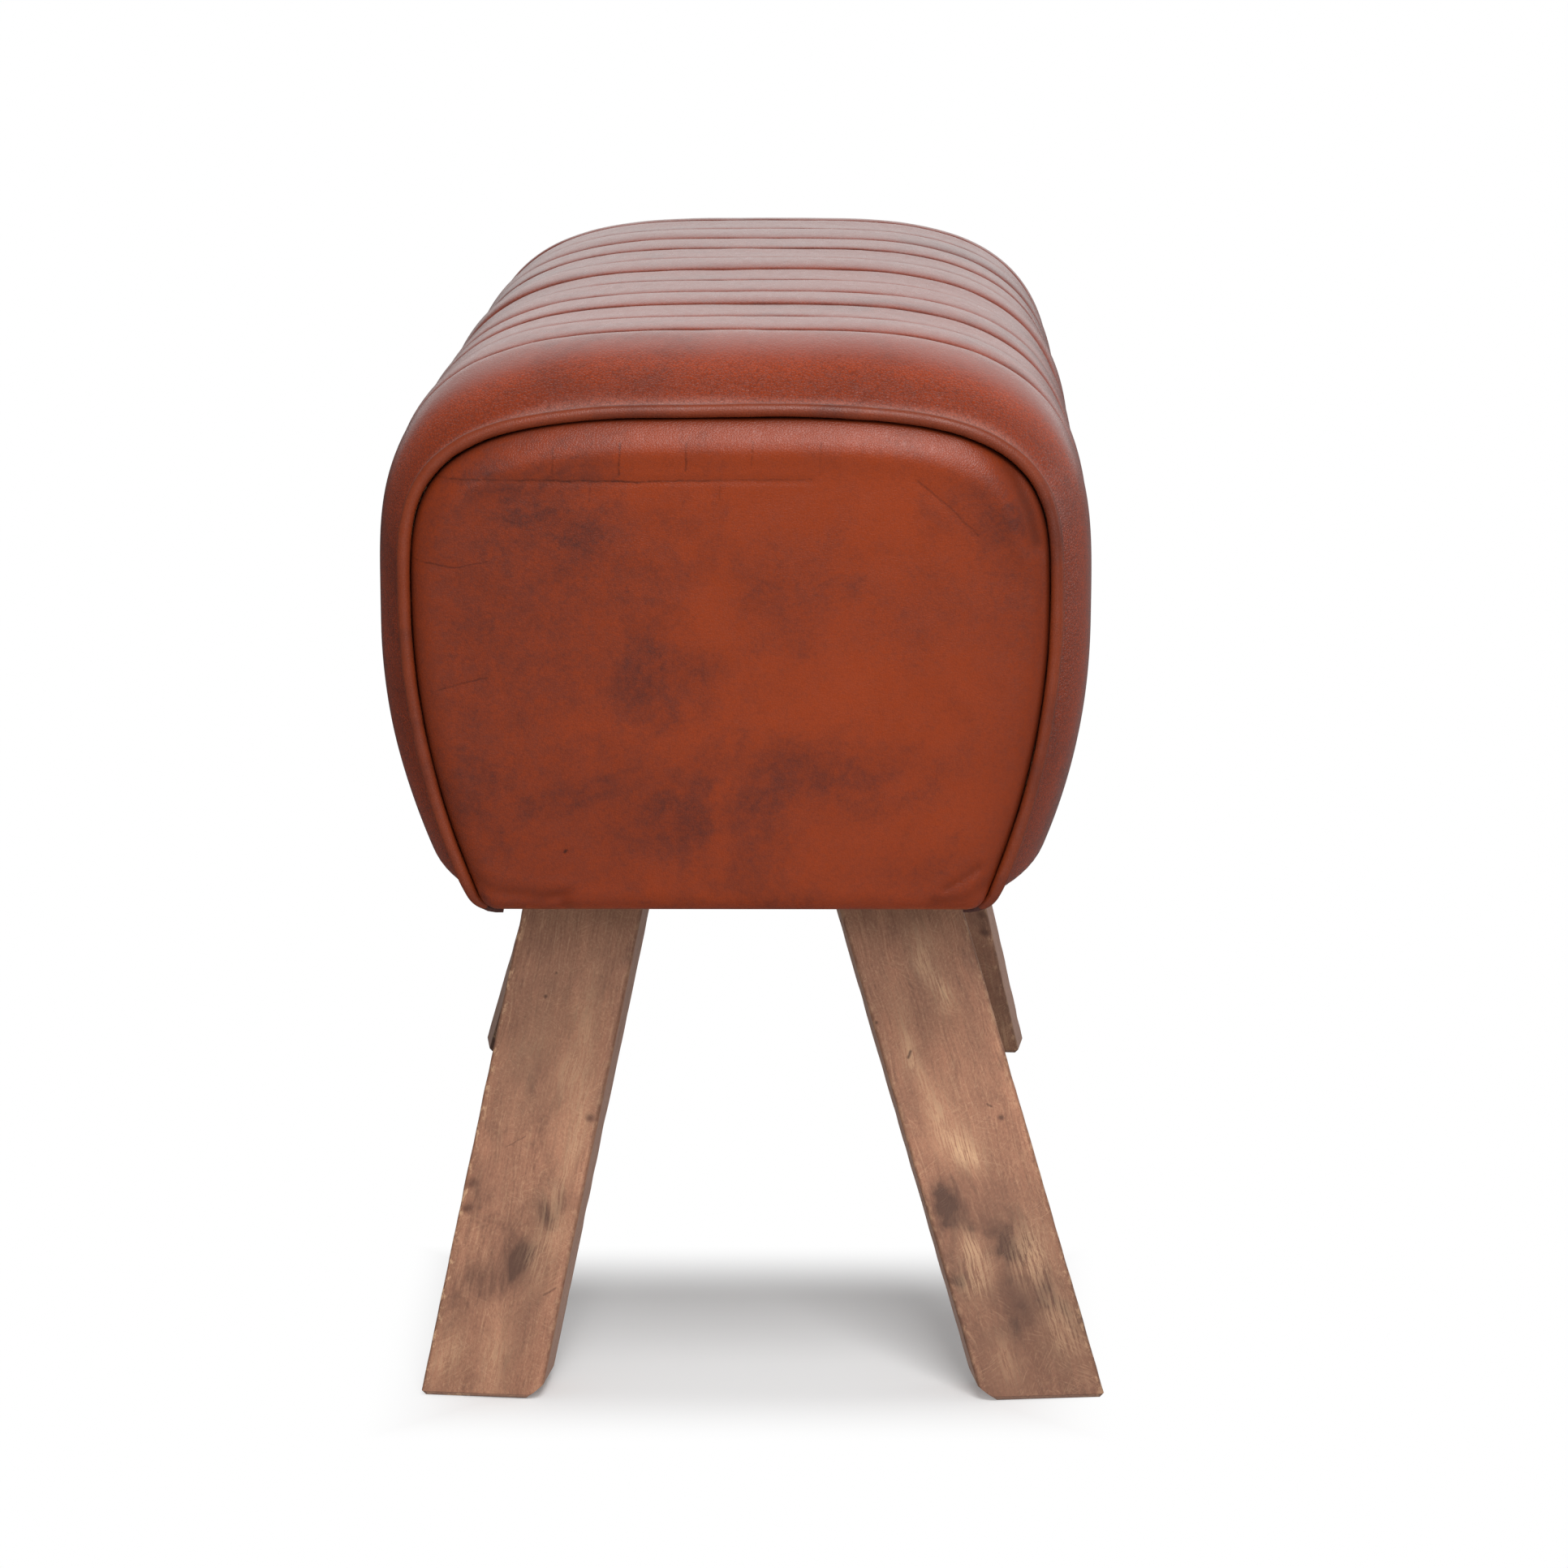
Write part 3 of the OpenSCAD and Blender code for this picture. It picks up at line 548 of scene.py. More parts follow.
def panel_face(place, ring):
    """How far the panel lies behind its front plane at each place, and the painted shade there:
    along the gap by the piping, softly down the sides and in the folds.
    """
    b, e = sizes("bench_body"), sizes("bench_end")
    x, z = place[:, 0], place[:, 1]
    gap = to_line(x, z, ring)
    low = ramp(-z, -b.base - 26 * MM, -b.base - 6 * MM)
    top = ramp(z, 0.400, 0.462)
    width = (e.side_roll + (e.top_roll - e.side_roll) * top) * (1 - low) + e.low_roll * low
    k = np.clip(gap / width, 0, 1)
    depth = e.depth * (1 - (1 - (1 - k) ** ROUNDING) ** (1 / ROUNDING))
    point = np.column_stack((x, np.zeros(len(x)), z))
    dents = 0.9 * MM * (1 + wander(point, 0.055, 1)) + 0.25 * MM * wander(point, 0.016, 21)
    depth = depth + dents * ramp(k, 0.3, 1)
    depth = depth - ROLL_SWELL * top * np.exp(-((gap - 13 * MM) / (8 * MM)) ** 2)
    # Painted shadow along the gap by the piping, then softer painted shade down the sides, less
    # along the top roll
    dark = np.exp(-gap / (2.3 * MM)) * (1 - low)
    dark = np.maximum(dark, 0.34 * np.exp(-gap / (8 * MM)) * (1 - 0.8 * top) * (1 - low))
    for deep, wide, line in FOLDS:
        away = to_line(x / MM, z / MM, line)
        groove = np.exp(-(away / wide) ** 2)
        bank = np.exp(-((away - 2.2 * wide) / wide) ** 2)
        depth = depth + deep * MM * groove - 0.2 * deep * MM * bank
        # Painted shade in the groove of each fold
        dark = np.maximum(dark, 0.34 * groove * min(1.5, deep))
    return depth, dark


def cloud_cover(place):
    """How dark each place of the panel is: clouds of old wax, and painted shade on its left side
    and right edge.
    """
    x, z = place[:, 0] / MM, place[:, 1] / MM
    point = np.column_stack((place[:, 0], np.zeros(len(x)), place[:, 1]))
    x = x + 9 * wander(point, 0.03, 31)
    z = z + 9 * wander(point, 0.03, 32)
    clear = np.ones(len(x))
    for across, up, wide, high, strength in CLOUDS:
        clear *= 1 - GROWTH[2] * strength * np.exp(-((x - across) / wide / GROWTH[0]) ** 2
                                                   - ((z - up) / high / GROWTH[1]) ** 2)
    # Painted shade: the left side and the right edge of the panel are darkened
    side = 0.8 * ramp(-x, 45, 135) + 0.7 * ramp(x, 95, 150)
    return 1 - clear * (1 - 0.8 * side)


def panel_rows():
    """Rings of the front panel, from its turned-back lip to its middle, with their marks."""
    b, e = sizes("bench_body"), sizes("bench_end")
    ring = panel_ring(401)
    middle = np.array([0, b.waist - 20 * MM])
    rows, shade, stain_and_shade = [], [], []
    for q in 1 - np.linspace(0, 1, 70) ** 1.3:
        place = middle + (ring - middle) * max(q, 0.012)
        depth, dark = panel_face(place, ring)
        rows.append(np.column_stack((place[:, 0], depth - e.front, place[:, 1])))
        shade.append(dark)
        stain_and_shade.append(cloud_cover(place))
    under = ramp(-ring[:, 1], -b.base - 8 * MM, -b.base - 1 * MM)
    back = 5 * MM * (1 - under) + 24 * MM * under
    lip = [rows[0] + np.column_stack((0 * back, back * k, 0 * back))
           for k in (1, 0.8, 0.6, 0.4, 0.2, 0.08)]
    rows = lip + rows
    # Painted shade on the turned-back lip behind the piping, a quarter as dark where it turns
    # under the body
    shade = [np.clip(1.0 - under, 0.25, 1)] * len(lip) + shade
    stain_and_shade = [stain_and_shade[0]] * len(lip) + stain_and_shade
    return [np.array(v) for v in (rows, shade, stain_and_shade)]


def close_pole(piece):
    """Fills the small hole left in the middle of a panel and turns its faces outward."""
    mesh = bmesh.new()
    mesh.from_mesh(piece.data)
    middle = sizes("bench_body").waist - 20 * MM
    ring = [e for e in mesh.edges if e.is_boundary and
            math.hypot(e.verts[0].co.x, e.verts[0].co.z - middle) < 10 * MM]
    filled = bmesh.ops.holes_fill(mesh, edges=ring)["faces"]
    bmesh.ops.poke(mesh, faces=filled)
    bmesh.ops.recalc_face_normals(mesh, faces=mesh.faces)
    front = max(mesh.faces, key=lambda f: abs(f.calc_center_median().y))
    if front.normal.y * front.calc_center_median().y < 0:
        bmesh.ops.reverse_faces(mesh, faces=mesh.faces)
    mesh.to_mesh(piece.data)
    mesh.free()


class BenchEndPanels(Operator):
    """Lays the padded leather panel over each end"""
    bl_idname = "bench.end_panels"
    bl_label = "End panels"

    def execute(self, context):
        rows, shade, stain_and_shade = panel_rows()
        for end, turn in (("front", 1), ("rear", -1)):
            placed = rows * [turn, turn, 1]
            piece = draped_grid(f"leather_end_panel_{end}", placed,
                                (("shade", shade), ("stain_and_shade", stain_and_shade)), closed=True)
            close_pole(piece)
            apply_modifier(piece, "SOLIDIFY", thickness=sizes("bench_end").leather, offset=-1)
            smooth(piece)
            finish_piece(piece, panel_leather(end, turn),
                         [f"end_panel_{end}"])
        return {"FINISHED"}


# ---------------------------------------------------------------- piping
def tube(name, points, thickness, radius, hollow=0.0):
    """Round cord through points; hollow is the thickness of its wall."""
    deselect()
    bpy.ops.curve.primitive_nurbs_path_add()
    cord = bpy.context.active_object
    cord.name = cord.data.name = name
    cord.data.splines.clear()
    spline = cord.data.splines.new("POLY")
    spline.points.add(len(points) - 1)
    for p, place, r in zip(spline.points, points, thickness):
        p.co = (*place, 1)
        p.radius = float(r)
    cord.data.bevel_depth = radius
    cord.data.bevel_resolution = 4
    cord.data.use_fill_caps = hollow == 0
    bpy.ops.object.convert(target="MESH")
    cord = bpy.context.active_object
    if hollow:
        apply_modifier(cord, "SOLIDIFY", thickness=hollow, offset=-1)
    smooth(cord, 60)
    return cord


class BenchPiping(Operator):
    """Runs a corded leather piping round the top and sides of each end panel"""
    bl_idname = "bench.piping"
    bl_label = "Piping"

    def execute(self, context):
        b, e = sizes("bench_body"), sizes("bench_end")
        line = spaced(mirrored(half_outline(end_form(), b.base, b.corner)[4:]), 420)
        cotton = plain_finish("cotton cord", (0.72, 0.66, 0.54), (0.58, 0.52, 0.42), 0.9,
                              (900, 900, 900))
        for end, turn in (("front", 1), ("rear", -1)):
            points = shifted(line, -(e.seam + e.piping / 2), 0.0)
            points[:, 1] += 0.55 * MM * wander(points, 0.03, 8)
            points[:, 2] += 0.45 * MM * wander(points, 0.045, 9)
            count = np.arange(len(line))
            end_gap = np.minimum(count, count[::-1]) / 12
            pinch = np.clip(1 - end_gap, 0, 1)
            points[:, 1] += 5 * MM * pinch ** 2
            thick = 1 + 0.07 * wander(points, 0.012, 4) - 0.25 * pinch
            points = points * [turn, turn, 1]
            skin = tube(f"leather_piping_{end}", points, thick, e.piping / 2, 1.2 * MM)
            finish_piece(skin, trim_leather(), [f"piping_{end}"])
            cord = tube(f"piping_cotton_cord_{end}", points, thick, e.piping / 4)
            finish_piece(cord, cotton, [f"piping_cord_{end}"])
        return {"FINISHED"}


# ---------------------------------------------------------------- padding under the leather
PAD_ACROSS = 181              # points over each padding layer
CLEAR = 0.4 * MM              # room between two layers


def straight_rows(form, lift, stations):
    """The same padding line at every station."""
    line = pad_line(form, lift, PAD_ACROSS)
    return np.array([shifted(line, y, 0.0) for y in stations])


class BenchPadding(Operator):
    """Lays the foam, the backing cloth and the wadding between the timber and the leather"""
    bl_idname = "bench.padding"
    bl_label = "Padding"

    def execute(self, context):
        b = sizes("bench_body")
        foam = plain_finish("upholstery foam", (0.86, 0.78, 0.52), (0.74, 0.64, 0.38), 0.9,
                            (300, 300, 300))
        self.cloth_depth = sizes("bench_end").leather + b.rib_depth * 1.35 + 1.6 * MM
        self.backing_cloth()
        self.rib_pads()
        self.foam_round_the_ribs(foam)
        self.foam_at_the_bands(foam)
        self.foam_behind_the_panels(foam)
        return {"FINISHED"}

    def backing_cloth(self):
        """Cloth that the ribs are sewn to."""
        b = sizes("bench_body")
        cotton = plain_finish("cotton cloth", (0.70, 0.62, 0.48), (0.55, 0.47, 0.35), 0.9,
                              (900, 900, 900))
        stations = np.linspace(b.last_seam, -b.last_seam, 61)
        rows = straight_rows(inset(body_form(), self.cloth_depth), 2.4 * MM, stations)
        cloth = draped_grid("rib_backing_cloth", rows)
        apply_modifier(cloth, "SOLIDIFY", thickness=0.8 * MM, offset=-1)
        smooth(cloth)
        finish_piece(cloth, cotton, ["channel_backing"])

    def rib_pads(self):
        """Wadding inside each rib, as separate pads in one piece."""
        b, leather_wall = sizes("bench_body"), sizes("bench_end").leather
        cotton = plain_finish("cotton wadding", (0.86, 0.84, 0.78), (0.7, 0.68, 0.6), 0.95,
                              (200, 60, 200))
        pitch = 2 * b.last_seam / b.ribs
        deep = self.cloth_depth - CLEAR
        form = inset(body_form(), deep)
        line = spaced(mirrored(half_outline(form, b.base + deep, form[5] - deep)), PAD_ACROSS)
        pads = []
        for k in range(b.ribs):
            outer, inner = [], []
            for s in np.linspace(0.86, -0.86, 13):
                y = -b.last_seam + pitch * (k + (s + 1) / 2)
                low = min(0.0, rib_swell(k)) - 1.2 * MM
                room = deep - leather_wall - 1.35 * rib_dip(s) + low
                outer.append(shifted(line, y, max(room, 0.5 * MM)))
                inner.append(shifted(line, y, 0.0))
            pads.append(padded_layer(f"rib_pad_{k}", np.array(outer), np.array(inner)))
        choose(pads[0])
        for pad in pads:
            pad.select_set(True)
        bpy.ops.object.join()
        pads[0].name = pads[0].data.name = "rib_wadding_pads"
        smooth(pads[0])
        finish_piece(pads[0], cotton, ["rib_wadding"])

    def foam_round_the_ribs(self, foam):
        """Foam between the timber and the backing cloth."""
        b = sizes("bench_body")
        stations = np.linspace(b.last_seam - CLEAR, -b.last_seam + CLEAR, 41)
        outer = straight_rows(inset(body_form(), self.cloth_depth + 1.4 * MM), 3.6 * MM, stations)
        inner = straight_rows(inset(frame_form(), -CLEAR), 2.4 * MM, stations)
        pad = padded_layer("foam_under_ribs", outer, inner)
        smooth(pad)
        finish_piece(pad, foam, ["foam_wrap"])

    def foam_at_the_bands(self, foam):
        """Foam under each plain band, kept at least a few millimetres thick."""
        b, e = sizes("bench_body"), sizes("bench_end")
        skin = band_rows(-e.leather - 2 * CLEAR)[0]
        skin = np.array([row for row in skin if -e.former < row[:, 1].mean() < -b.last_seam - MM])
        inner = pad_line(inset(frame_form(), -CLEAR), 2.4 * MM, PAD_ACROSS)
        outer_rows, inner_rows = [], []
        for row in skin:
            over = spaced(row[row[:, 2] > b.base + 4.5 * MM], PAD_ACROSS)
            normal = outward(over[:, [0, 2]])
            room = ((over[:, [0, 2]] - inner) * normal).sum(axis=1)
            under = inner - normal * np.maximum(0, 4 * MM - room)[:, None]
            outer_rows.append(over)
            inner_rows.append(shifted(under, over[:, 1], 0.0))
        for end, turn in (("front", 1), ("rear", -1)):
            outer, inside = (np.array(v) * [1, turn, 1] for v in (outer_rows, inner_rows))
            pad = padded_layer(f"foam_band_{end}", outer[::turn], inside[::turn])
            smooth(pad)
            finish_piece(pad, foam, [f"foam_edge_{end}"])

    def foam_behind_the_panels(self, foam):
        """Foam pad between each end former and its panel."""
        b, e = sizes("bench_body"), sizes("bench_end")
        face_ring = panel_ring(401)
        middle = np.array([0, b.waist - 20 * MM])
        ring = mirrored(half_outline(inset(end_form(), 13 * MM), b.base + 10 * MM, 4 * MM))
        ring = spaced(np.vstack((ring, ring[:1])), 161)
        back = -e.former - CLEAR
        rows = []
        for q in np.linspace(0.01, 1, 12):
            place = middle + (ring - middle) * q
            rows.append(np.column_stack((place[:, 0], np.full(len(place), back), place[:, 1])))
        for q in np.linspace(1, 0.01, 34):
            place = middle + (ring - middle) * q
            depth = panel_face(place, face_ring)[0]
            y = np.minimum(depth - e.front + e.leather + 2.5 * MM, back - 2 * MM)
            rows.append(np.column_stack((place[:, 0], y, place[:, 1])))
        for end, turn in (("front", 1), ("rear", -1)):
            pad = draped_grid(f"foam_panel_{end}", np.array(rows) * [turn, turn, 1], closed=True)
            edit_whole(bpy.ops.mesh.fill_holes, sides=0)
            smooth(pad)
            finish_piece(pad, foam, [f"foam_end_{end}"])


# ---------------------------------------------------------------- legs
def leg_frames():
    """Each leg's name with the matrix that carries plank coordinates to the bench."""
    leg, b = sizes("bench_leg"), sizes("bench_body")
    found = {}
    for side, across in (("right", 1), ("left", -1)):
        lean = leg.splay + across * leg.rack
        front = (Matrix.Translation((leg.mid_x, -leg.mid_y, b.base))
                 @ Matrix.Rotation(-leg.rake, 4, "X") @ Matrix.Rotation(-lean, 4, "Y")
                 @ Matrix.Rotation(leg.toe, 4, "Z"))
        front = Matrix.Diagonal((across, 1, 1, 1)) @ front
        found[f"leg_front_{side}"] = front
        other = "left" if side == "right" else "right"
        found[f"leg_rear_{other}"] = Matrix.Rotation(math.pi, 4, "Z") @ front
    return found


def plank_section():
    """Closed loop of a plank's section with worn corners, and its normals."""
    leg = sizes("bench_leg")
    half_w, half_t, r = leg.width / 2, leg.thickness / 2, leg.worn
    points, normals = [], []
    for k, (sx, sy) in enumerate(((1, 1), (-1, 1), (-1, -1), (1, -1))):
        for a in np.linspace(0, math.pi / 2, 5) + k * math.pi / 2:
            normals.append((math.cos(a), math.sin(a)))
            points.append((sx * (half_w - r) + r * math.cos(a), sy * (half_t - r)
                           + r * math.sin(a)))
        count = 22 if k % 2 == 0 else 9
        turn = (k + 1) * math.pi / 2
        flat = (math.cos(turn), math.sin(turn))
        ahead = ((-sx, sy) if k % 2 == 0 else (sx, -sy))
        stop = (ahead[0] * (half_w - r) + r * flat[0], ahead[1] * (half_t - r) + r * flat[1])
        start = points[-1]
        for q in np.linspace(0, 1, count + 2)[1:-1]:
            points.append((start[0] + (stop[0] - start[0]) * q,
                           start[1] + (stop[1] - start[1]) * q))
            normals.append(flat)
    points.append(points[0])
    normals.append(normals[0])
    return np.array(points), np.array(normals)


# Marks on the broad front face of the two front planks, in millimetres from the plank's middle
# at the underside: across towards the outer edge, up, half width, half height, strength
# The two wide weak entries near up -30 darken the top of each front plank across its whole width
SMOKE = {
    "left": ((-10, -174, 9, 7, 0.7), (-8, -199, 9, 13, 0.9), (12, -210, 12, 8, 0.6),
             (-15, -226, 6, 16, 0.8), (-12, -240, 5, 10, 0.4), (18, -232, 8, 12, 0.3),
             (4, -30, 30, 10, 0.15), (6, -120, 14, 22, 0.3), (20, -172, 8, 18, 0.35)),
    "right": ((-18, -167, 7, 10, 1.0), (-1, -185, 7, 17, 0.9), (-2.5, -200, 7, 3, 1.0),
              (-11, -182.5, 5, 2, 0.9), (-21, -178, 6, 2.5, 0.7), (1, -232, 16, 5, 0.8),
              (14, -222, 5, 10, 0.7), (-10, -218, 5, 8, 0.7), (2, -212, 12, 3, 0.6),
              (-24, -206, 7, 3, 0.8), (8, -176, 5, 20, 0.4), (0, -28, 30, 12, 0.2),
              (12, -250, 10, 8, 0.3)),
}
PALE = {
    "left": ((-12, -92, 5, 36, 0.5), (-19, -140, 4, 46, 0.5), (-13, -190, 5, 20, 0.4),
             (20, -250, 7, 14, 0.4), (-4, -246, 6, 18, 0.4), (10, -100, 10, 30, 0.2)),
    "right": ((-4, -146, 6, 9, 1.0), (-14, -195, 6, 9, 0.7), (6, -58, 5, 18, 0.8),
              (9, -74, 4, 6, 0.9), (-15, -98, 3.5, 28, 0.7), (-9, -130, 5, 16, 0.7),
              (13, -203, 9, 16, 0.6), (18, -240, 7, 16, 0.4), (-16, -208, 6, 8, 0.5),
              (-12, -246, 8, 12, 0.3)),
}
# Knots as across, up, radius and strength
KNOTS = {
    "left": ((12, -209, 8, 0.4), (-8, -199, 11, 0.35), (-12, -172, 6, 0.4)),
    "right": ((-18, -167, 10, 1.0), (0, -186, 11, 0.9), (2, -222, 18, 0.8)),
}
# Nail heads, pin knots and cuts as strokes: start, end (across, up), half width, strength
DOTS = {
    "left": (((5.6, -60), (5.6, -60), 1.2, 0.8), ((8.6, -72), (8.6, -72), 1.6, 0.9),
             ((25.4, -167), (24.6, -166), 3.6, 0.7), ((25.0, -179), (24.0, -178.4), 3.8, 0.8),
             ((-25, -124), (-24, -124), 3.2, 0.7), ((-20, -211.4), (-25, -207), 0.8, 0.6),
             ((12, -146), (4, -139), 0.5, 0.5)),
    "right": (((17.6, -136.4), (17.8, -136.6), 2.4, 0.9), ((14.6, -130), (13.4, -128.4), 0.9, 0.8),
              ((-16.8, -96.6), (-14.8, -94), 1.1, 0.9), ((-26.7, -76.4), (-26.7, -76.4), 1.3, 0.8),
              ((8.7, -77), (7.0, -66), 0.5, 0.35)),
}


PATCH_WARP = 6.0              # how far the patches' edges stray, in millimetres


def patches(points, listed, seed):
    """Soft irregular patches listed in millimetres, at plank places."""
    u = points[:, 0] / MM + PATCH_WARP * wander(points, 0.02, seed)
    w = points[:, 2] / MM + PATCH_WARP * wander(points, 0.02, seed + 1)
    clear = np.ones(len(points))
    for across, up, wide, high, strength in listed:
        clear *= 1 - strength * np.exp(-((u - across) / wide) ** 2 - ((w - up) / high) ** 2)
    return 1 - clear


class BenchLegs(Operator):
    """Planes, wears and finishes the four plank legs"""
    bl_idname = "bench.legs"
    bl_label = "Legs"

    def execute(self, context):
        for number, (name, matrix) in enumerate(leg_frames().items()):
            kind = "right" if name in ("leg_front_right", "leg_rear_left") else "left"
            piece = self.plank(name, np.array(matrix), kind, number)
            finish_piece(piece, leg_wood(name, kind, number), [name])
        return {"FINISHED"}

    def plank_rows(self, matrix, number):
        """Rings of the plank from its upper end to its sole, and how near each is to an edge."""
        leg = sizes("bench_leg")
        section, normals = plank_section()
        half_w, half_t = leg.width / 2, leg.thickness / 2

        def up_to(points, height):
            """Place along the plank at which each section point reaches a height."""
            return (height - matrix[2, 3] - points @ matrix[2, :2]) / matrix[2, 2]

        rise = np.maximum(leg.sole_bevel, leg.foot_cut - section[:, 0] - half_w)
        top, low = up_to(section, leg.top), up_to(section, rise)
        corner = np.min([np.hypot(section[:, 0] - sx * half_w, section[:, 1] - sy * half_t)
                         for sx in (-1, 1) for sy in (-1, 1)], axis=0)
        edge = np.exp(-corner / (1.6 * MM))
        rows = [np.column_stack((section * q, up_to(section * q, leg.top))) for q in (0.02, 0.9)]
        edges = [edge * 0, edge * 0]
        for w in np.linspace(top, low, 150):
            at = np.column_stack((section, w))
            nick = np.clip(wander(at, 0.011, 60 + number) + 0.15, 0, 1) * edge * 0.8 * MM
            face = 0.25 * MM * wander(at, 0.035, 70 + number) * (1 - edge)
            rows.append(np.column_stack((section + normals * (face - nick)[:, None], w)))
            edges.append(edge)
        sole = np.column_stack((
            np.clip(section[:, 0], -half_w + leg.foot_cut, half_w - leg.sole_bevel),
            np.clip(section[:, 1], -half_t + leg.sole_bevel, half_t - leg.sole_bevel)))
        middle = sole.mean(axis=0)
        for q in (1, 0.6, 0.2, 0.02):
            ring = middle + (sole - middle) * q
            rows.append(np.column_stack((ring, up_to(ring, 0.0))))
            edges.append(edge * 0 + (0.8 if q == 1 else 0))
        return np.array(rows), np.array(edges)

    def plank(self, name, matrix, kind, number):
        """One leg with its wear, its marks and its place at the bench."""
        local, edges = self.plank_rows(matrix, number)
        flat = local.reshape(-1, 3)
        narrow = np.abs(flat[:, 1]) <= sizes("bench_leg").thickness / 2 - 2 * MM
        smoke = patches(flat, SMOKE[kind], 80 + number)
        pale = patches(flat, PALE[kind], 90 + number)
        world = flat @ matrix[:3, :3].T + matrix[:3, 3]
        world[:, 2] = np.maximum(world[:, 2], 0.0)
        marks = [(key, values.reshape(edges.shape)) for key, values in
                 (("smoke", smoke), ("pale", pale), ("narrow", 1.0 * narrow))]
        piece = draped_grid(name + "_plank", world.reshape(local.shape),
                            [("edge", edges), *marks, ("plank", local)], closed=True)
        edit_whole(bpy.ops.mesh.fill_holes, sides=0)
        smooth(piece, 35)
        return piece


# ---------------------------------------------------------------- underside
class BenchDustCover(Operator):
    """Stretches the black dust cloth under the body, sagging a little between its tacks"""
    bl_idname = "bench.dust_cover"
    bl_label = "Dust cover"

    def execute(self, context):
        deselect()
        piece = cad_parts["dust_cover"].copy()
        piece.data = piece.data.copy()
        context.collection.objects.link(piece)
        piece.name = piece.data.name = "underside_dust_cloth"
        mesh = bmesh.new()
        mesh.from_mesh(piece.data)
        bmesh.ops.remove_doubles(mesh, verts=mesh.verts, dist=0.01 * MM)
        above = [f for f in mesh.faces
                 if f.normal.z > -0.5 or f.calc_center_median().z > DUST_LOW.z + 0.3 * MM]
        bmesh.ops.delete(mesh, geom=above, context="FACES")
        area = sum(f.calc_area() for f in mesh.faces)
        wide, deep = DUST_HIGH.x - DUST_LOW.x, DUST_HIGH.y - DUST_LOW.y
        for size, axis in ((wide, 0), (deep, 1)):
            normal = Vector((1, 0, 0) if axis == 0 else (0, 1, 0))
            for k in range(1, round(size / (9 * MM))):
                place = Vector((0, 0, 0))
                place[axis] = (DUST_LOW[axis] + k * 9 * MM)
                bmesh.ops.bisect_plane(mesh, geom=mesh.verts[:] + mesh.edges[:] + mesh.faces[:],
                                       plane_co=place, plane_no=normal)
        for v in mesh.verts:
            across = 1 - (abs(v.co.x) / (wide / 2)) ** 2
            along = 1 - (abs(v.co.y) / (deep / 2)) ** 4
            ripple = noise.noise(Vector((v.co.x / 0.02, v.co.y / 0.05, 3.0)))
            v.co.z -= max(0.0, across * along) * (2.5 + 0.8 * ripple) * MM
        mesh.to_mesh(piece.data)
        mesh.free()
        apply_modifier(piece, "SOLIDIFY", thickness=0.6 * MM, offset=1)
        smooth(piece)
        black = plain_finish("dust cloth", (0.030, 0.029, 0.028), (0.012, 0.012, 0.012), 0.85,
                             (700, 700, 700))
        finish_piece(piece, black, ["dust_cover"])
        return {"FINISHED"}


class BenchInnerFinishes(Operator):
    """Finishes the timber and steel inside and under the bench"""
    bl_idname = "bench.inner_finishes"
    bl_label = "Inner finishes"

    def execute(self, context):
        pine = plain_finish("sawn pine", (0.60, 0.42, 0.23), (0.42, 0.26, 0.13), 0.6,
                            (60, 6, 60))
        ply = plain_finish("plywood", (0.62, 0.45, 0.26), (0.38, 0.24, 0.12), 0.6, (12, 12, 220))
        steel = plain_finish("zinc steel", (0.55, 0.56, 0.58), (0.36, 0.36, 0.37), 0.38,
                             (90, 90, 90), metal=1.0)
        finishes = {"cross_rail": pine, "side_rail": pine, "waist_batten": pine,
                    "shoulder_batten": pine, "top_deck": ply, "end_former": ply,
                    "centre_former": ply, "leg_bolt": steel, "frame_screws": steel,
                    "cross_rail_screws": steel, "dust_cover_tacks": steel}
        for name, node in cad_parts.items():
            kinds = [k for k in finishes if name.startswith(k)]
            if kinds:
                node.data.materials.clear()
                node.data.materials.append(finishes[max(kinds, key=len)])
        return {"FINISHED"}


# ---------------------------------------------------------------- materials
def node_group(name, inputs, outputs):
    """An empty shader group with named sockets."""
    group = bpy.data.node_groups.new(name, "ShaderNodeTree")
    for socket, kind, default in inputs:
        s = group.interface.new_socket(socket, in_out="INPUT", socket_type=kind)
        if default is not None:
            s.default_value = default
    for socket, kind in outputs:
        group.interface.new_socket(socket, in_out="OUTPUT", socket_type=kind)
    return group, group.nodes.new("NodeGroupInput"), group.nodes.new("NodeGroupOutput")


VECTOR, NUMBER = "NodeSocketVector", "NodeSocketFloat"


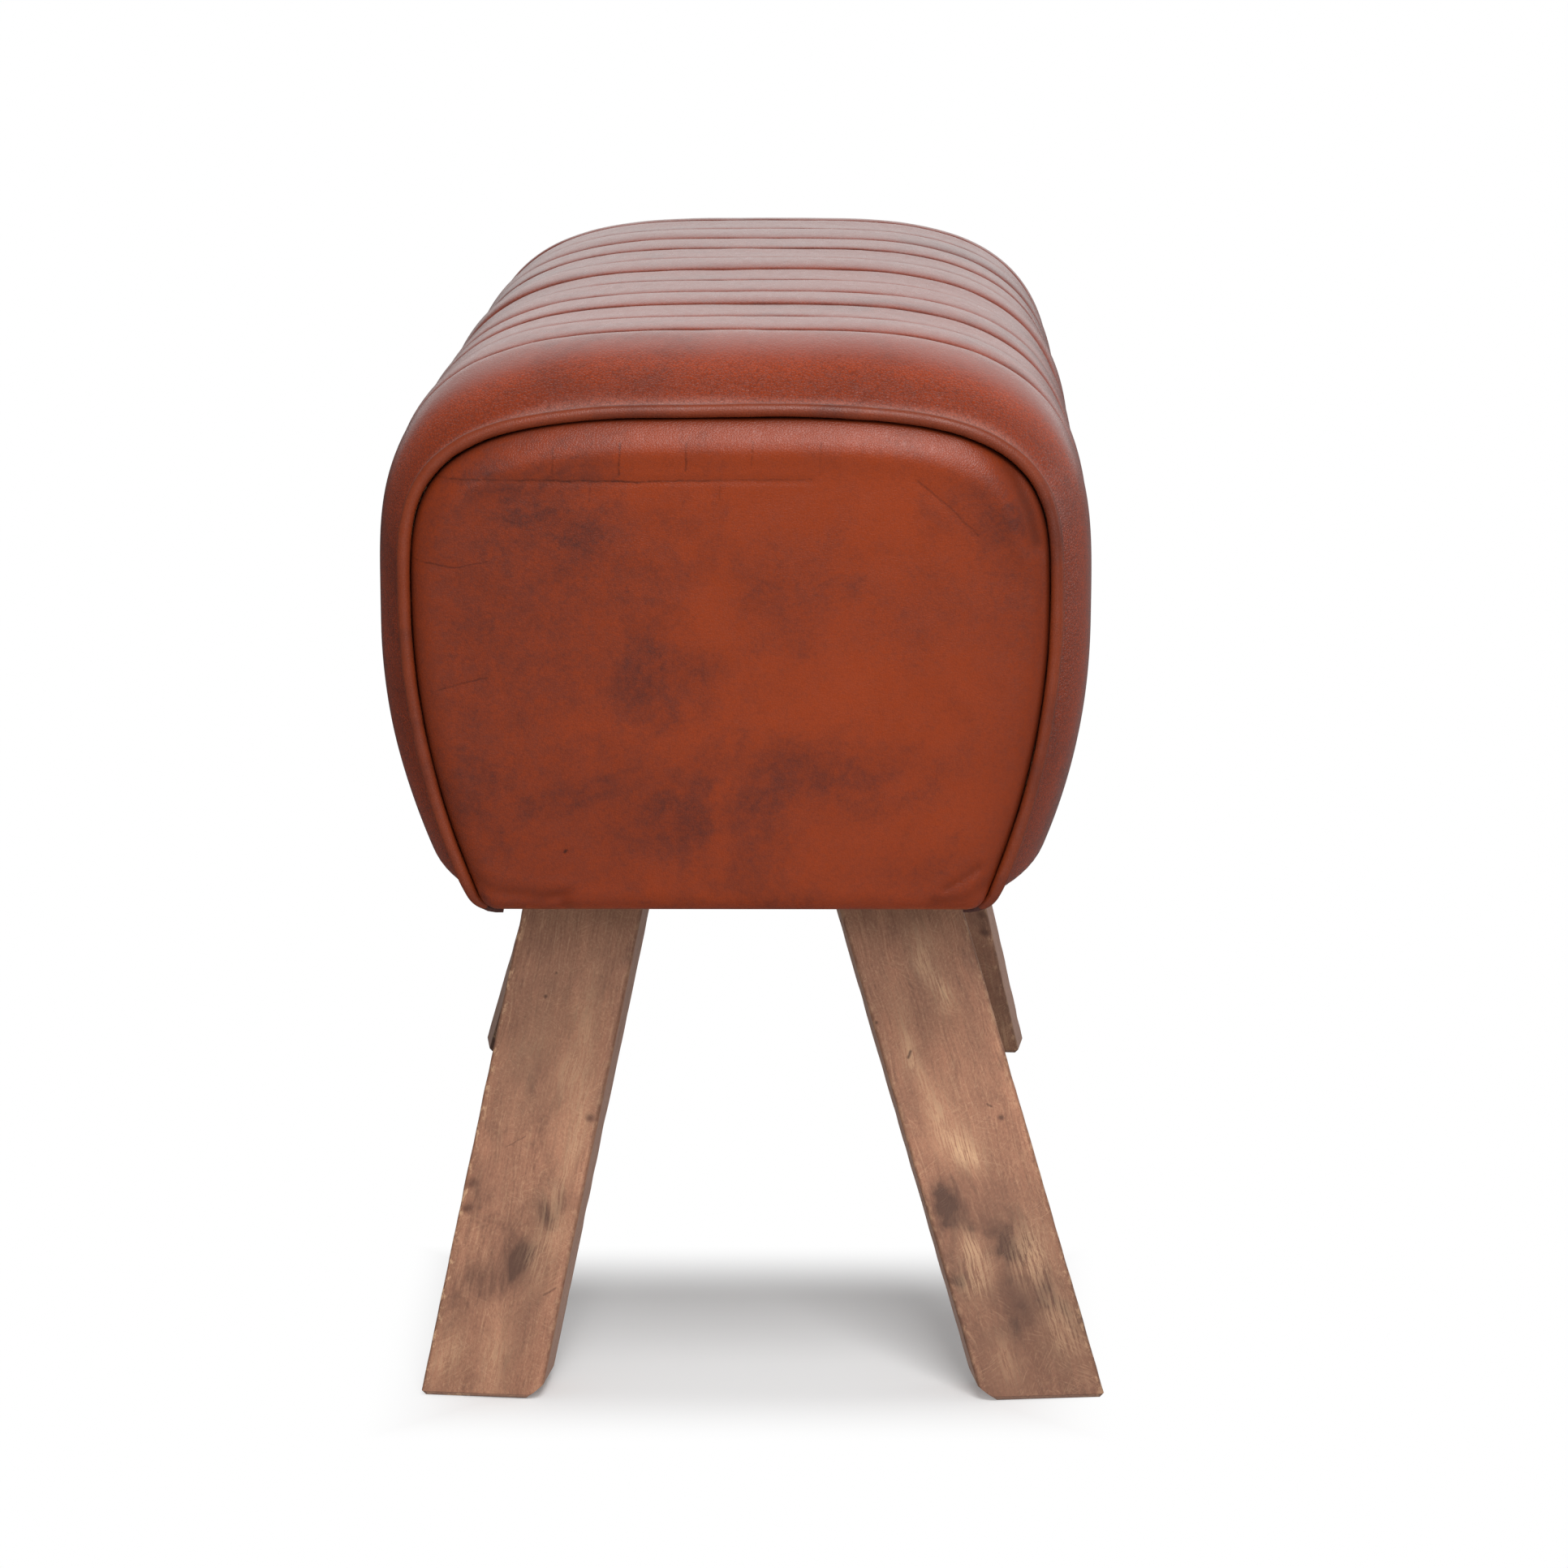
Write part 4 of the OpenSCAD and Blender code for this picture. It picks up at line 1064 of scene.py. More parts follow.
class Wiring:
    """Short words for adding and joining nodes in one tree."""

    def __init__(self, tree):
        self.tree = tree

    def add(self, kind, inputs=(), **settings):
        node = self.tree.nodes.new(kind)
        for key, value in settings.items():
            setattr(node, key, value)
        for socket, value in dict(inputs).items():
            if isinstance(value, bpy.types.NodeSocket):
                self.tree.links.new(value, node.inputs[socket])
            else:
                node.inputs[socket].default_value = value
        return node

    def noise(self, vector, scale, detail=4, rough=0.5, warp=0.0):
        return self.add("ShaderNodeTexNoise", {"Vector": vector, "Scale": scale, "Detail": detail,
                                               "Roughness": rough, "Distortion": warp}).outputs[0]

    def cells(self, vector, scale, feature, **inputs):
        return self.add("ShaderNodeTexVoronoi", {"Vector": vector, "Scale": scale, **inputs},
                        feature=feature).outputs["Distance"]

    def math(self, operation, a, b=0.0, clamp=False):
        return self.add("ShaderNodeMath", {0: a, 1: b}, operation=operation,
                        use_clamp=clamp).outputs[0]

    def times(self, a, b):
        return self.math("MULTIPLY", a, b)

    def plus(self, a, b):
        return self.math("ADD", a, b)

    def vector(self, operation, a, b, out="Vector"):
        return self.add("ShaderNodeVectorMath", {0: a, 1: b}, operation=operation).outputs[out]

    def warped(self, vector, scale, by):
        """Coordinates pushed about by noise, by up to about half of the given length."""
        cloud = self.add("ShaderNodeTexNoise", {"Vector": vector, "Scale": scale}).outputs["Color"]
        centred = self.vector("SUBTRACT", cloud, (0.5, 0.5, 0.5))
        return self.add("ShaderNodeVectorMath", {0: centred, 1: (by, by, by), 2: vector},
                        operation="MULTIPLY_ADD").outputs[0]

    def span(self, value, low, high, to_low=0.0, to_high=1.0, soft=False):
        return self.add("ShaderNodeMapRange", {"Value": value, "From Min": low, "From Max": high,
                                               "To Min": to_low, "To Max": to_high},
                        interpolation_type="SMOOTHSTEP" if soft else "LINEAR").outputs[0]

    def mix(self, factor, a, b):
        node = self.add("ShaderNodeMix", data_type="RGBA")
        for index, value in ((0, factor), (6, a), (7, b)):
            if isinstance(value, bpy.types.NodeSocket):
                self.tree.links.new(value, node.inputs[index])
            elif index == 0:
                node.inputs[index].default_value = value
            else:
                node.inputs[index].default_value = (*value, 1)
        return node.outputs[2]

    def layers(self, tone, *listed):
        """Colours laid one over another, each as its mask, its strength and the colour."""
        for mask, strength, over in listed:
            tone = self.mix(self.times(mask, strength), tone, over)
        return tone

    def surface(self, shader, tone, rough, height, depth, strength):
        """Joins a colour, a roughness and a bump of the given depth to the shader."""
        bump = self.add("ShaderNodeBump", {"Height": height, "Distance": depth,
                                           "Strength": strength})
        for socket, value in (("Base Color", tone), ("Roughness", rough),
                              ("Normal", bump.outputs[0])):
            self.tree.links.new(value, shader.inputs[socket])

    def stretch(self, vector, scale=(1, 1, 1), place=(0, 0, 0), turn=(0, 0, 0)):
        return self.add("ShaderNodeMapping", {"Vector": vector, "Scale": scale, "Location": place,
                                              "Rotation": turn}).outputs[0]

    def group(self, name, build, **inputs):
        if name not in bpy.data.node_groups:
            build(name)
        return self.add("ShaderNodeGroup", {key.replace("_", " "): value for key, value
                                            in inputs.items()},
                        node_tree=bpy.data.node_groups[name]).outputs

    def strokes(self, vector, listed):
        """Strongest of several soft strokes: start, end, half width and strength."""
        total = None
        for start, end, width, strength in listed:
            one = self.times(self.group("stroke", build_stroke, Vector=vector, Start=start,
                                        End=end, Width=width)["Mask"], strength)
            total = one if total is None else self.math("MAXIMUM", total, one)
        return total

    def mark(self, name, out="Fac"):
        return self.add("ShaderNodeAttribute", attribute_name=name).outputs[out]

    def place(self):
        return self.add("ShaderNodeTexCoord").outputs["Object"]


def new_material(name):
    """A material with its wiring and its main shader."""
    material = bpy.data.materials.new(name)
    material.use_nodes = True
    return material, Wiring(material.node_tree), material.node_tree.nodes["Principled BSDF"]


def tinted(tone, by):
    """A colour made lighter or darker."""
    return [min(1.0, by * x) for x in tone]


def build_stroke(name):
    """Soft mask round a straight stroke from Start to End, or a dot where they are the same."""
    group, start, end = node_group(name, (("Vector", VECTOR, None), ("Start", VECTOR, None),
                                          ("End", VECTOR, None), ("Width", NUMBER, 0.001)),
                                   (("Mask", NUMBER),))
    w, sockets = Wiring(group), start.outputs
    away = w.vector("SUBTRACT", sockets["Vector"], sockets["Start"])
    run = w.vector("SUBTRACT", sockets["End"], sockets["Start"])
    size = w.math("MAXIMUM", w.vector("DOT_PRODUCT", run, run, "Value"), 1e-9)
    along = w.math("DIVIDE", w.vector("DOT_PRODUCT", away, run, "Value"), size, True)
    nearest = w.add("ShaderNodeVectorMath", {0: run, "Scale": along}, operation="SCALE").outputs[0]
    gap = w.vector("DISTANCE", away, nearest, "Value")
    group.links.new(w.span(gap, 0.0, sockets["Width"], 1.0, 0.0, True), end.inputs["Mask"])


def build_hide_grain(name):
    """Pebbled leather grain: its height, its dark pores and its soft wrinkles."""
    group, start, end = node_group(name, (("Vector", VECTOR, None), ("Grain", NUMBER, 700.0)),
                                   (("Height", NUMBER), ("Pores", NUMBER), ("Flecks", NUMBER)))
    w = Wiring(group)
    vector, grain = start.outputs["Vector"], start.outputs["Grain"]
    warped = w.warped(vector, 160.0, 2.2 * MM)
    pebble = w.cells(warped, grain, "SMOOTH_F1", Smoothness=0.6)
    lines = w.cells(warped, grain, "DISTANCE_TO_EDGE")
    folds = w.noise(vector, 90.0, 5, 0.6)
    height = w.plus(w.times(w.span(lines, 0.0, 0.22, soft=True), 0.5), w.times(pebble, -0.35))
    group.links.new(w.plus(height, w.times(folds, 0.7)), end.inputs["Height"])
    group.links.new(w.span(lines, 0.0, 0.16, 1.0, 0.0, True), end.inputs["Pores"])
    flecks = w.noise(warped, 620.0, 3, 0.75)
    group.links.new(w.span(flecks, 0.47, 0.63), end.inputs["Flecks"])


def build_patina(name):
    """Cloudy wear of old waxed leather: broad clouds, paler rubs and fine mottling."""
    group, start, end = node_group(name, (("Vector", VECTOR, None),),
                                   (("Cloud", NUMBER), ("Pale", NUMBER), ("Mottle", NUMBER)))
    w = Wiring(group)
    vector = start.outputs["Vector"]
    broad = w.noise(vector, 13.0, 6, 0.62, 0.6)
    fine = w.noise(vector, 70.0, 6, 0.7, 0.4)
    both = w.plus(w.times(broad, 0.7), w.times(fine, 0.3))
    moved = w.stretch(vector, place=(3.1, 1.7, 0.4))
    group.links.new(w.span(both, 0.48, 0.66, soft=True), end.inputs["Cloud"])
    group.links.new(w.span(w.noise(moved, 16.0, 5, 0.6, 0.3), 0.48, 0.7), end.inputs["Pale"])
    group.links.new(w.span(w.noise(vector, 190.0, 6, 0.75), 0.4, 0.66), end.inputs["Mottle"])


STITCHES = 2300.0             # radians of the stitch pattern to a metre of seam


def cover_leather():
    """Glossy waxed leather of the ribs and bands, with painted shade in the seams and a painted
    sheen by the piping; reads the shade mark, the mark for warm tone and sheen, and the along
    mark.
    """
    if "cover leather" in bpy.data.materials:
        return bpy.data.materials["cover leather"]
    c = sizes("bench_colours")
    material, w, shader = new_material("cover leather")
    place, shade, warm_and_sheen = w.place(), w.mark("shade"), w.mark("warm_and_sheen")
    hide = w.group("hide grain", build_hide_grain, Vector=w.stretch(
        place, (1.0, 0.62, 1.0), turn=(0, 0, 0.5)), Grain=720.0)
    patina = w.group("patina", build_patina, Vector=place)
    tone = w.layers(
        w.mix(w.span(warm_and_sheen, 0.0, 1.0), c.cover, c.cover_warm),
        (w.span(warm_and_sheen, 1.0, 2.0), 0.5, tinted(c.cover_warm, 0.5)),
        # Painted sheen: the pale tone along the band's foot beside the piping
        (w.span(warm_and_sheen, 2.0, 3.0), 0.5, c.cover_painted_sheen),
        (patina["Pale"], 0.22, tinted(c.cover, 1.3)),
        (patina["Cloud"], 0.42, c.cover_dark),
        (hide["Flecks"], w.span(warm_and_sheen, 0.0, 1.0, 0.15, 0.4), c.cover_dark),
        (hide["Pores"], w.span(warm_and_sheen, 0.0, 1.0, 0.1, 0.38), c.seam),
        # Painted shade from the shade mark, down in the seams and by the piping
        (w.span(shade, 0.1, 0.7), 0.92, c.seam))
    rough = w.plus(w.times(patina["Mottle"], 0.07), w.times(shade, 0.35))
    stitch = w.times(w.math("SINE", w.times(w.mark("along"), STITCHES)),
                     w.span(shade, 0.004, 0.3, 0.0, 0.5))
    w.surface(shader, tone, w.math("ADD", rough, 0.27, True), w.plus(hide["Height"], stitch),
              0.30 * MM, w.span(warm_and_sheen, 0.4, 2.0, 0.3, 0.7))
    coat = w.span(warm_and_sheen, 0.4, 1.0, 0.20, 0.06)
    w.tree.links.new(coat, shader.inputs["Coat Weight"])
    shader.inputs["Coat Roughness"].default_value = 0.2
    return material


def in_metres(strokes):
    """Strokes on the X Z plane, turned from millimetres into metres."""
    return [((a[0] * MM, 0, a[1] * MM), (b[0] * MM, 0, b[1] * MM), width * MM, strength)
            for a, b, width, strength in strokes]


def panel_strokes():
    """Fine dark cracks and specks in the front panel's finish, as places across and up."""
    crossing = [((x, low), (x + 0.6, high), 0.9, s) for x, low, high, s in (
        (-78.2, 452.1, 464.0, 0.3), (-48.5, 452.0, 466.5, 0.5), (-19.0, 453.8, 466.5, 0.42),
        (10.3, 456.7, 466.5, 0.3), (40.5, 452.0, 466.0, 0.25), (-62.0, 440.0, 446.0, 0.35),
        (-4.0, 441.0, 447.0, 0.3))]
    level = [
        ((-132.6, 450.2), (-84.0, 449.6), 0.8, 0.6), ((-84.0, 449.6), (-40.0, 448.8), 0.9, 0.8),
        ((-40.0, 448.8), (-8.0, 449.4), 0.8, 0.6), ((-8.0, 449.4), (36.9, 449.6), 0.7, 0.35),
        ((83.6, 449.3), (98.1, 437.3), 0.8, 0.45), ((98.1, 437.3), (110.7, 424.5), 0.8, 0.4),
        ((-142.5, 413.7), (-122.6, 410.0), 0.8, 0.6),
        ((-122.6, 410.0), (-108.0, 413.0), 0.7, 0.4),
        ((-131.2, 354.4), (-109.2, 360.0), 0.8, 0.5), ((-75.6, 279.3), (-75.0, 279.8), 1.3, 0.9),
        ((-137.0, 462.0), (-122.0, 470.0), 1.2, 0.35)]
    return in_metres(crossing + level)


def panel_leather(end, turn):
    """Satin leather of an end panel, with painted shade from its shade mark; reads the shade mark
    and the mark for stains and side shade.
    """
    c = sizes("bench_colours")
    material, w, shader = new_material(f"end panel leather {end}")
    place, shade, stain_and_shade = w.place(), w.mark("shade"), w.mark("stain_and_shade")
    hide = w.group("hide grain", build_hide_grain, Vector=place, Grain=880.0)
    patina = w.group("patina", build_patina, Vector=w.stretch(place, place=(0.2, turn, 0.1)))
    # The clouds carry the stains of old wax and the painted shade down the sides
    clouds = w.math("MULTIPLY", w.plus(w.times(stain_and_shade, 0.72), w.times(patina["Cloud"], 0.5)),
                    w.span(patina["Mottle"], 0.0, 1.0, 0.6, 1.15), True)
    flat = w.warped(w.stretch(place, (turn, 0, 1)), 150.0, 1.6 * MM)
    ragged = w.span(w.noise(place, 420.0, 3, 0.6), 0.34, 0.5, 0.35, 1.0)
    cracks = w.times(w.strokes(flat, panel_strokes()), ragged)
    tone = w.layers(
        c.panel,
        (patina["Pale"], 0.4, tinted(c.panel, 1.22)),
        (clouds, 0.88, c.panel_dark),
        (hide["Flecks"], w.plus(w.times(clouds, 0.35), 0.14), c.panel_dark),
        (hide["Pores"], w.plus(w.times(clouds, 0.16), 0.07), c.antique_and_shade),
        (cracks, 1.0, c.antique_and_shade),
        # Painted shade: soft darkening down the sides and by the folds, then the painted shadow in
        # the gap by the piping
        (w.span(shade, 0.0, 0.34), 0.7, tinted(c.panel, 0.55)),
        (w.span(shade, 0.3, 0.9), 0.9, c.antique_and_shade))
    rough = w.plus(w.times(clouds, 0.06), w.times(patina["Mottle"], 0.08))
    height = w.math("SUBTRACT", hide["Height"], w.times(cracks, 0.25))
    w.surface(shader, tone, w.math("ADD", rough, 0.34, True), height, 0.2 * MM, 0.4)
    shader.inputs["Specular IOR Level"].default_value = 0.31
    return material


def trim_leather():
    """Rubbed leather of the piping."""
    if "piping leather" in bpy.data.materials:
        return bpy.data.materials["piping leather"]
    c = sizes("bench_colours")
    material, w, shader = new_material("piping leather")
    place = w.place()
    hide = w.group("hide grain", build_hide_grain, Vector=place, Grain=900.0)
    patina = w.group("patina", build_patina, Vector=place)
    tone = w.layers(c.trim, (patina["Pale"], 0.45, tinted(c.trim, 1.35)),
                    (patina["Cloud"], 0.6, c.cover_dark), (hide["Pores"], 0.2, c.seam))
    w.surface(shader, tone, w.span(patina["Mottle"], 0.0, 1.0, 0.38, 0.5), hide["Height"],
              0.2 * MM, 0.45)
    shader.inputs["Specular IOR Level"].default_value = 0.38
    return material


def build_plank(name):
    """Old smoked plank: X across, Y through, Z along the grain, from the plank's middle."""
    group, start, end = node_group(
        name, (("Vector", VECTOR, None), ("Seed", NUMBER, 0.0)),
        (("Figure", NUMBER), ("Fibres", NUMBER), ("Haze", NUMBER), ("Speckle", NUMBER),
         ("Scratches", NUMBER), ("Dashes", NUMBER)))
    w = Wiring(group)
    seed = start.outputs["Seed"]
    shift = w.add("ShaderNodeCombineXYZ", {0: seed, 1: seed, 2: seed}).outputs[0]
    moved = w.vector("ADD", start.outputs["Vector"], shift)
    figure = w.noise(w.stretch(moved, (1, 1, 0.22)), 75.0, 8, 0.66, 0.9)
    fibres = w.noise(w.stretch(w.warped(moved, 25.0, 7 * MM), (1, 1, 0.035)), 900.0, 5, 0.75)
    haze = w.noise(w.stretch(moved, (1, 1, 0.6)), 34.0, 7, 0.66, 1.0)
    speckle = w.noise(w.stretch(moved, (1, 1, 0.7)), 850.0, 3, 0.75)
    nicks = []
    bent = w.warped(moved, 30.0, 12 * MM)
    for turn, scale in ((0.3, 1300.0), (-0.6, 1500.0), (0.9, 1200.0), (-1.2, 1600.0)):
        drawn = w.stretch(w.stretch(bent, turn=(0, turn, 0)), (1, 1, 0.07))
        here = w.noise(w.stretch(moved, place=(turn, 0, turn)), 40.0, 3, 0.6)
        nicks.append(w.times(w.span(w.noise(drawn, scale, 1, 0.5), 0.56, 0.70),
                             w.span(here, 0.48, 0.6)))
    scratches = w.math("MAXIMUM", w.math("MAXIMUM", nicks[0], nicks[1]),
                       w.math("MAXIMUM", nicks[2], nicks[3]))
    dashes = w.span(w.noise(w.stretch(moved, (1, 1, 0.6)), 300.0, 4, 0.7), 0.52, 0.6)
    for socket, value in (("Figure", figure), ("Fibres", fibres),
                          ("Haze", w.span(haze, 0.45, 0.7, soft=True)), ("Speckle", speckle),
                          ("Scratches", scratches), ("Dashes", dashes)):
        group.links.new(value, end.inputs[socket])


def build_knot(name):
    """Swirl of grain round a knot: its dark heart and its wavy rings."""
    group, start, end = node_group(name, (("Vector", VECTOR, None), ("Centre", VECTOR, None),
                                          ("Radius", NUMBER, 0.01)),
                                   (("Heart", NUMBER), ("Rings", NUMBER)))
    w, sockets = Wiring(group), start.outputs
    away = w.vector("SUBTRACT", w.warped(sockets["Vector"], 80.0, 16 * MM), sockets["Centre"])
    gap = w.math("DIVIDE", w.vector("LENGTH", away, (0, 0, 0), "Value"), sockets["Radius"])
    fade = w.span(gap, 0.3, 1.6, 1.0, 0.0, True)
    rings = w.span(w.math("SINE", w.plus(w.times(gap, 13.0),
                                         w.noise(sockets["Vector"], 160.0))), 0.1, 0.9)
    group.links.new(w.span(gap, 0.2, 0.95, 1.0, 0.0, True), end.inputs["Heart"])
    group.links.new(w.times(rings, fade), end.inputs["Rings"])


NAIL_HEAD = (0.075, 0.028, 0.018)


def leg_wood(name, kind, number):
    """Smoked and scratched wood of one leg, with painted light on its narrow faces and painted
    shade over the rear planks; reads plank, edge, smoke, pale and narrow.
    """
    c = sizes("bench_colours")
    material, w, shader = new_material(name + " wood")
    plank = w.mark("plank", "Vector")
    grain = w.group("plank", build_plank, Vector=plank, Seed=0.37 * number + 0.2)
    edge = w.mark("edge")
    place = w.add("ShaderNodeSeparateXYZ", {0: plank}).outputs
    across, up = place[0], place[2]
    haze = w.times(grain["Haze"], w.span(up, -0.10, -0.24, 0.24, 0.6))
    smoke = w.math("MULTIPLY", w.plus(w.mark("smoke"), haze),
                   w.span(grain["Haze"], 0.0, 1.0, 0.6, 1.15), True)
    flat = w.stretch(plank, (1, 0, 1))
    for x, z, radius, strength in KNOTS[kind]:
        knot = w.group("knot", build_knot, Vector=flat, Centre=(x * MM, 0, z * MM),
                       Radius=radius * MM)
        dark = w.plus(w.times(knot["Heart"], 0.85), w.times(knot["Rings"], 0.22))
        smoke = w.math("MAXIMUM", smoke, w.times(dark, strength))
    low = w.span(up, -0.13, -0.24, 0.0, 0.52 if kind == "right" else 0.16)
    streaks = w.times(w.mark("pale"), w.span(grain["Fibres"], 0.45, 0.53, 0.0, 1.2))
    # Painted light: the narrow faces get their own lighter tone
    side = w.mix(w.span(grain["Figure"], 0.35, 0.7), c.wood_side_painted_light, tinted(c.wood_side_painted_light, 0.84))
    side = w.layers(side, (w.span(grain["Speckle"], 0.5, 0.66), 0.35, c.wood_dark))
    dashes = w.times(w.span(edge, 0.10, 0.35), grain["Dashes"])
    outer = w.span(across, 0.0, 10 * MM, 0.15, 0.5 if name == "leg_front_left" else 0.25)
    dots = w.strokes(w.warped(flat, 300.0, 0.9 * MM), in_metres(DOTS[kind]))
    tone = w.layers(
        w.mix(w.span(grain["Figure"], 0.32, 0.68), tinted(c.wood, 0.80), tinted(c.wood, 1.18)),
        (w.span(grain["Fibres"], 0.5, 0.68), 0.42, c.wood_dark),
        (w.span(grain["Fibres"], 0.46, 0.32), 0.28, c.wood_pale),
        (w.span(grain["Speckle"], 0.52, 0.68), 0.3, c.wood_dark),
        (w.span(grain["Speckle"], 0.46, 0.32), 0.22, c.wood_pale),
        (smoke, 0.95, c.wood_dark),
        # Painted shade: the rear planks, under the body, are 0.35 darker all over
        (w.plus(low, 0.35 if "rear" in name else 0.0), 1.0, c.wood_dark),
        (streaks, 0.62, c.wood_pale),
        (grain["Scratches"], w.span(smoke, 0.1, 0.6, 0.14, 0.03), c.wood_pale),
        (w.mark("narrow"), 0.9, side),
        (w.span(edge, 0.35, 0.8), 0.55, tinted(c.wood_dark, 0.7)),
        (dashes, outer, c.wood_pale),
        (dots, 0.9, NAIL_HEAD))
    relief = w.plus(w.times(grain["Figure"], 0.4), w.times(grain["Fibres"], 0.5))
    relief = w.math("SUBTRACT", w.plus(relief, w.times(grain["Speckle"], 0.4)),
                    w.times(grain["Scratches"], 0.3))
    w.surface(shader, tone, w.span(grain["Figure"], 0.3, 0.7, 0.44, 0.6), relief, 0.35 * MM, 0.5)
    shader.inputs["Specular IOR Level"].default_value = 0.4
    return material


def plain_finish(name, tone, dark, rough, grain, metal=0.0):
    """Simple cloudy finish for hidden timber, foam, cloth and steel."""
    material, w, shader = new_material(name)
    figure = w.noise(w.stretch(w.place(), grain), 1.0, 6, 0.6, 0.4)
    w.surface(shader, w.mix(w.span(figure, 0.35, 0.7), tone, dark),
              w.span(figure, 0.3, 0.7, rough - 0.08, rough + 0.08), figure, 0.2 * MM, 0.4)
    shader.inputs["Metallic"].default_value = metal
    return material


# ---------------------------------------------------------------- stage
class BenchStageSetup(Operator):
    """Sets the white floor, the soft light and the camera"""
    bl_idname = "bench.stage"
    bl_label = "Stage"

    def execute(self, context):
        self.floor(context)
        self.room(context.scene)
        self.lamps(context)
        self.camera(context)
        context.scene.view_settings.view_transform = "Standard"
        return {"FINISHED"}

    def floor(self, context):
        """White floor that glows to the camera and keeps the bench's shadow."""
        deselect()
        bpy.ops.mesh.primitive_plane_add(size=40, location=(0, 0, -0.0002))
        floor = context.active_object
        floor.name = "studio_floor"
        material, w, shader = new_material("studio floor")
        nodes, links = material.node_tree.nodes, material.node_tree.links
        nodes.remove(shader)
        ray = w.add("ShaderNodeLightPath").outputs
        mirrored_rays = w.math("MAXIMUM", ray["Is Glossy Ray"], ray["Is Transmission Ray"])
        paper = w.add("ShaderNodeBsdfDiffuse", {"Color": (0.80, 0.80, 0.80, 1)})
        place = w.add("ShaderNodeSeparateXYZ", {0: w.place()}).outputs
        dim = w.span(place[0], -0.6, 0.6, 0.06, 0.20)
        seen = w.math("MAXIMUM", ray["Is Camera Ray"], w.times(mirrored_rays, dim))
        glow = w.add("ShaderNodeEmission", {"Color": (1, 1, 1, 1), "Strength": seen})
        # The paper itself shows only in a soft zone between the legs, where it keeps the shadow
        across = w.span(w.math("ABSOLUTE", place[0]), 0.10, 0.18, soft=True)
        before = w.span(place[1], -0.35, -0.28, 1.0, 0.0, True)
        behind = w.span(place[1], -0.16, -0.075, soft=True)
        fade = w.math("MAXIMUM", w.math("MAXIMUM", across, before), behind)
        fade = w.times(w.span(fade, 0.0, 1.0, 0.06, 1.0), ray["Is Camera Ray"])
        fade = w.math("MAXIMUM", fade, mirrored_rays)
        both = w.add("ShaderNodeMixShader", {0: fade, 1: paper.outputs[0], 2: glow.outputs[0]})
        links.new(both.outputs[0], nodes["Material Output"].inputs["Surface"])
        floor.data.materials.append(material)

    def room(self, scene):
        """White to the camera; for reflections a white backdrop under a darker ceiling."""
        s = sizes("bench_stage")
        world = bpy.data.worlds.new("soft white room")
        scene.world = world
        world.use_nodes = True
        w = Wiring(world.node_tree)
        ray = w.add("ShaderNodeLightPath").outputs
        toward = w.add("ShaderNodeSeparateXYZ", {0: w.place()}).outputs
        backdrop = w.times(w.span(toward[1], 0.0, 0.5, soft=True),
                           w.span(toward[2], 0.58, 0.90, 1.0, 0.0, True))
        backdrop = w.times(backdrop, w.span(toward[0], -0.62, -0.12, 0.08, 1.0, True))
        backdrop = w.times(backdrop, w.span(toward[0], 0.15, 0.7, 1.0, 0.4, True))
        side = w.times(w.span(toward[0], 0.3, 0.9, soft=True), 0.3)
        room = w.math("MAXIMUM", w.math("MAXIMUM", backdrop, side), 0.10)
        mirrored_rays = w.math("MAXIMUM", ray["Is Glossy Ray"], ray["Is Transmission Ray"])
        # Even light for the surfaces, the graded room for reflections, white for the camera
        strength = w.math("MULTIPLY", w.span(mirrored_rays, 0.0, 1.0, 1.0, 0.0), s.sky)
        strength = w.plus(strength, w.times(mirrored_rays, room))
        strength = w.math("MAXIMUM", strength, ray["Is Camera Ray"])
        background = world.node_tree.nodes["Background"]
        background.inputs["Color"].default_value = (1, 1, 1, 1)
        world.node_tree.links.new(strength, background.inputs["Strength"])

    def lamps(self, context):
        """Three large soft lamps, all turned towards the bench."""
        s = sizes("bench_stage")
        for name, place, size, power in (
                ("front top lamp", (0.30, -1.30, 1.85), 0.85, s.key),
                ("front lamp", (0.15, -2.50, 1.30), 0.7, s.key * 0.42),
                ("right lamp", (2.10, 0.10, 0.70), 0.9, s.key * 0.16)):
            bpy.ops.object.light_add(type="AREA", location=place)
            lamp = context.active_object
            lamp.name = name
            lamp.data.size = size
            lamp.data.energy = power
            aim = Vector((0, 0, 0.3)) - Vector(place)
            lamp.rotation_euler = aim.to_track_quat("-Z", "Y").to_euler()

    def camera(self, context):
        """Camera placed by its yaw, pitch and roll."""
        s = sizes("bench_stage")
        bpy.ops.object.camera_add()
        camera = context.active_object
        camera.name = "camera"
        yaw, pitch, roll = s.camera_turn
        ahead = Vector((math.sin(yaw) * math.cos(pitch), math.cos(yaw) * math.cos(pitch),
                        -math.sin(pitch)))
        right = Vector((math.cos(yaw), -math.sin(yaw), 0))
        up = right.cross(ahead)
        axis_x = right * math.cos(roll) - up * math.sin(roll)
        axis_y = right * math.sin(roll) + up * math.cos(roll)
        camera.matrix_world = Matrix.Translation(s.camera_place) @ Matrix(
            (axis_x, axis_y, -ahead)).transposed().to_4x4()
        camera.data.sensor_width = 36
        camera.data.lens = s.lens
        camera.data.clip_end = 100
        context.scene.camera = camera


# ---------------------------------------------------------------- panel and registration
OPERATORS = (BenchPadding, BenchRibbedCover, BenchPlainBands, BenchEndPanels, BenchPiping,
             BenchLegs, BenchDustCover, BenchInnerFinishes, BenchStageSetup)


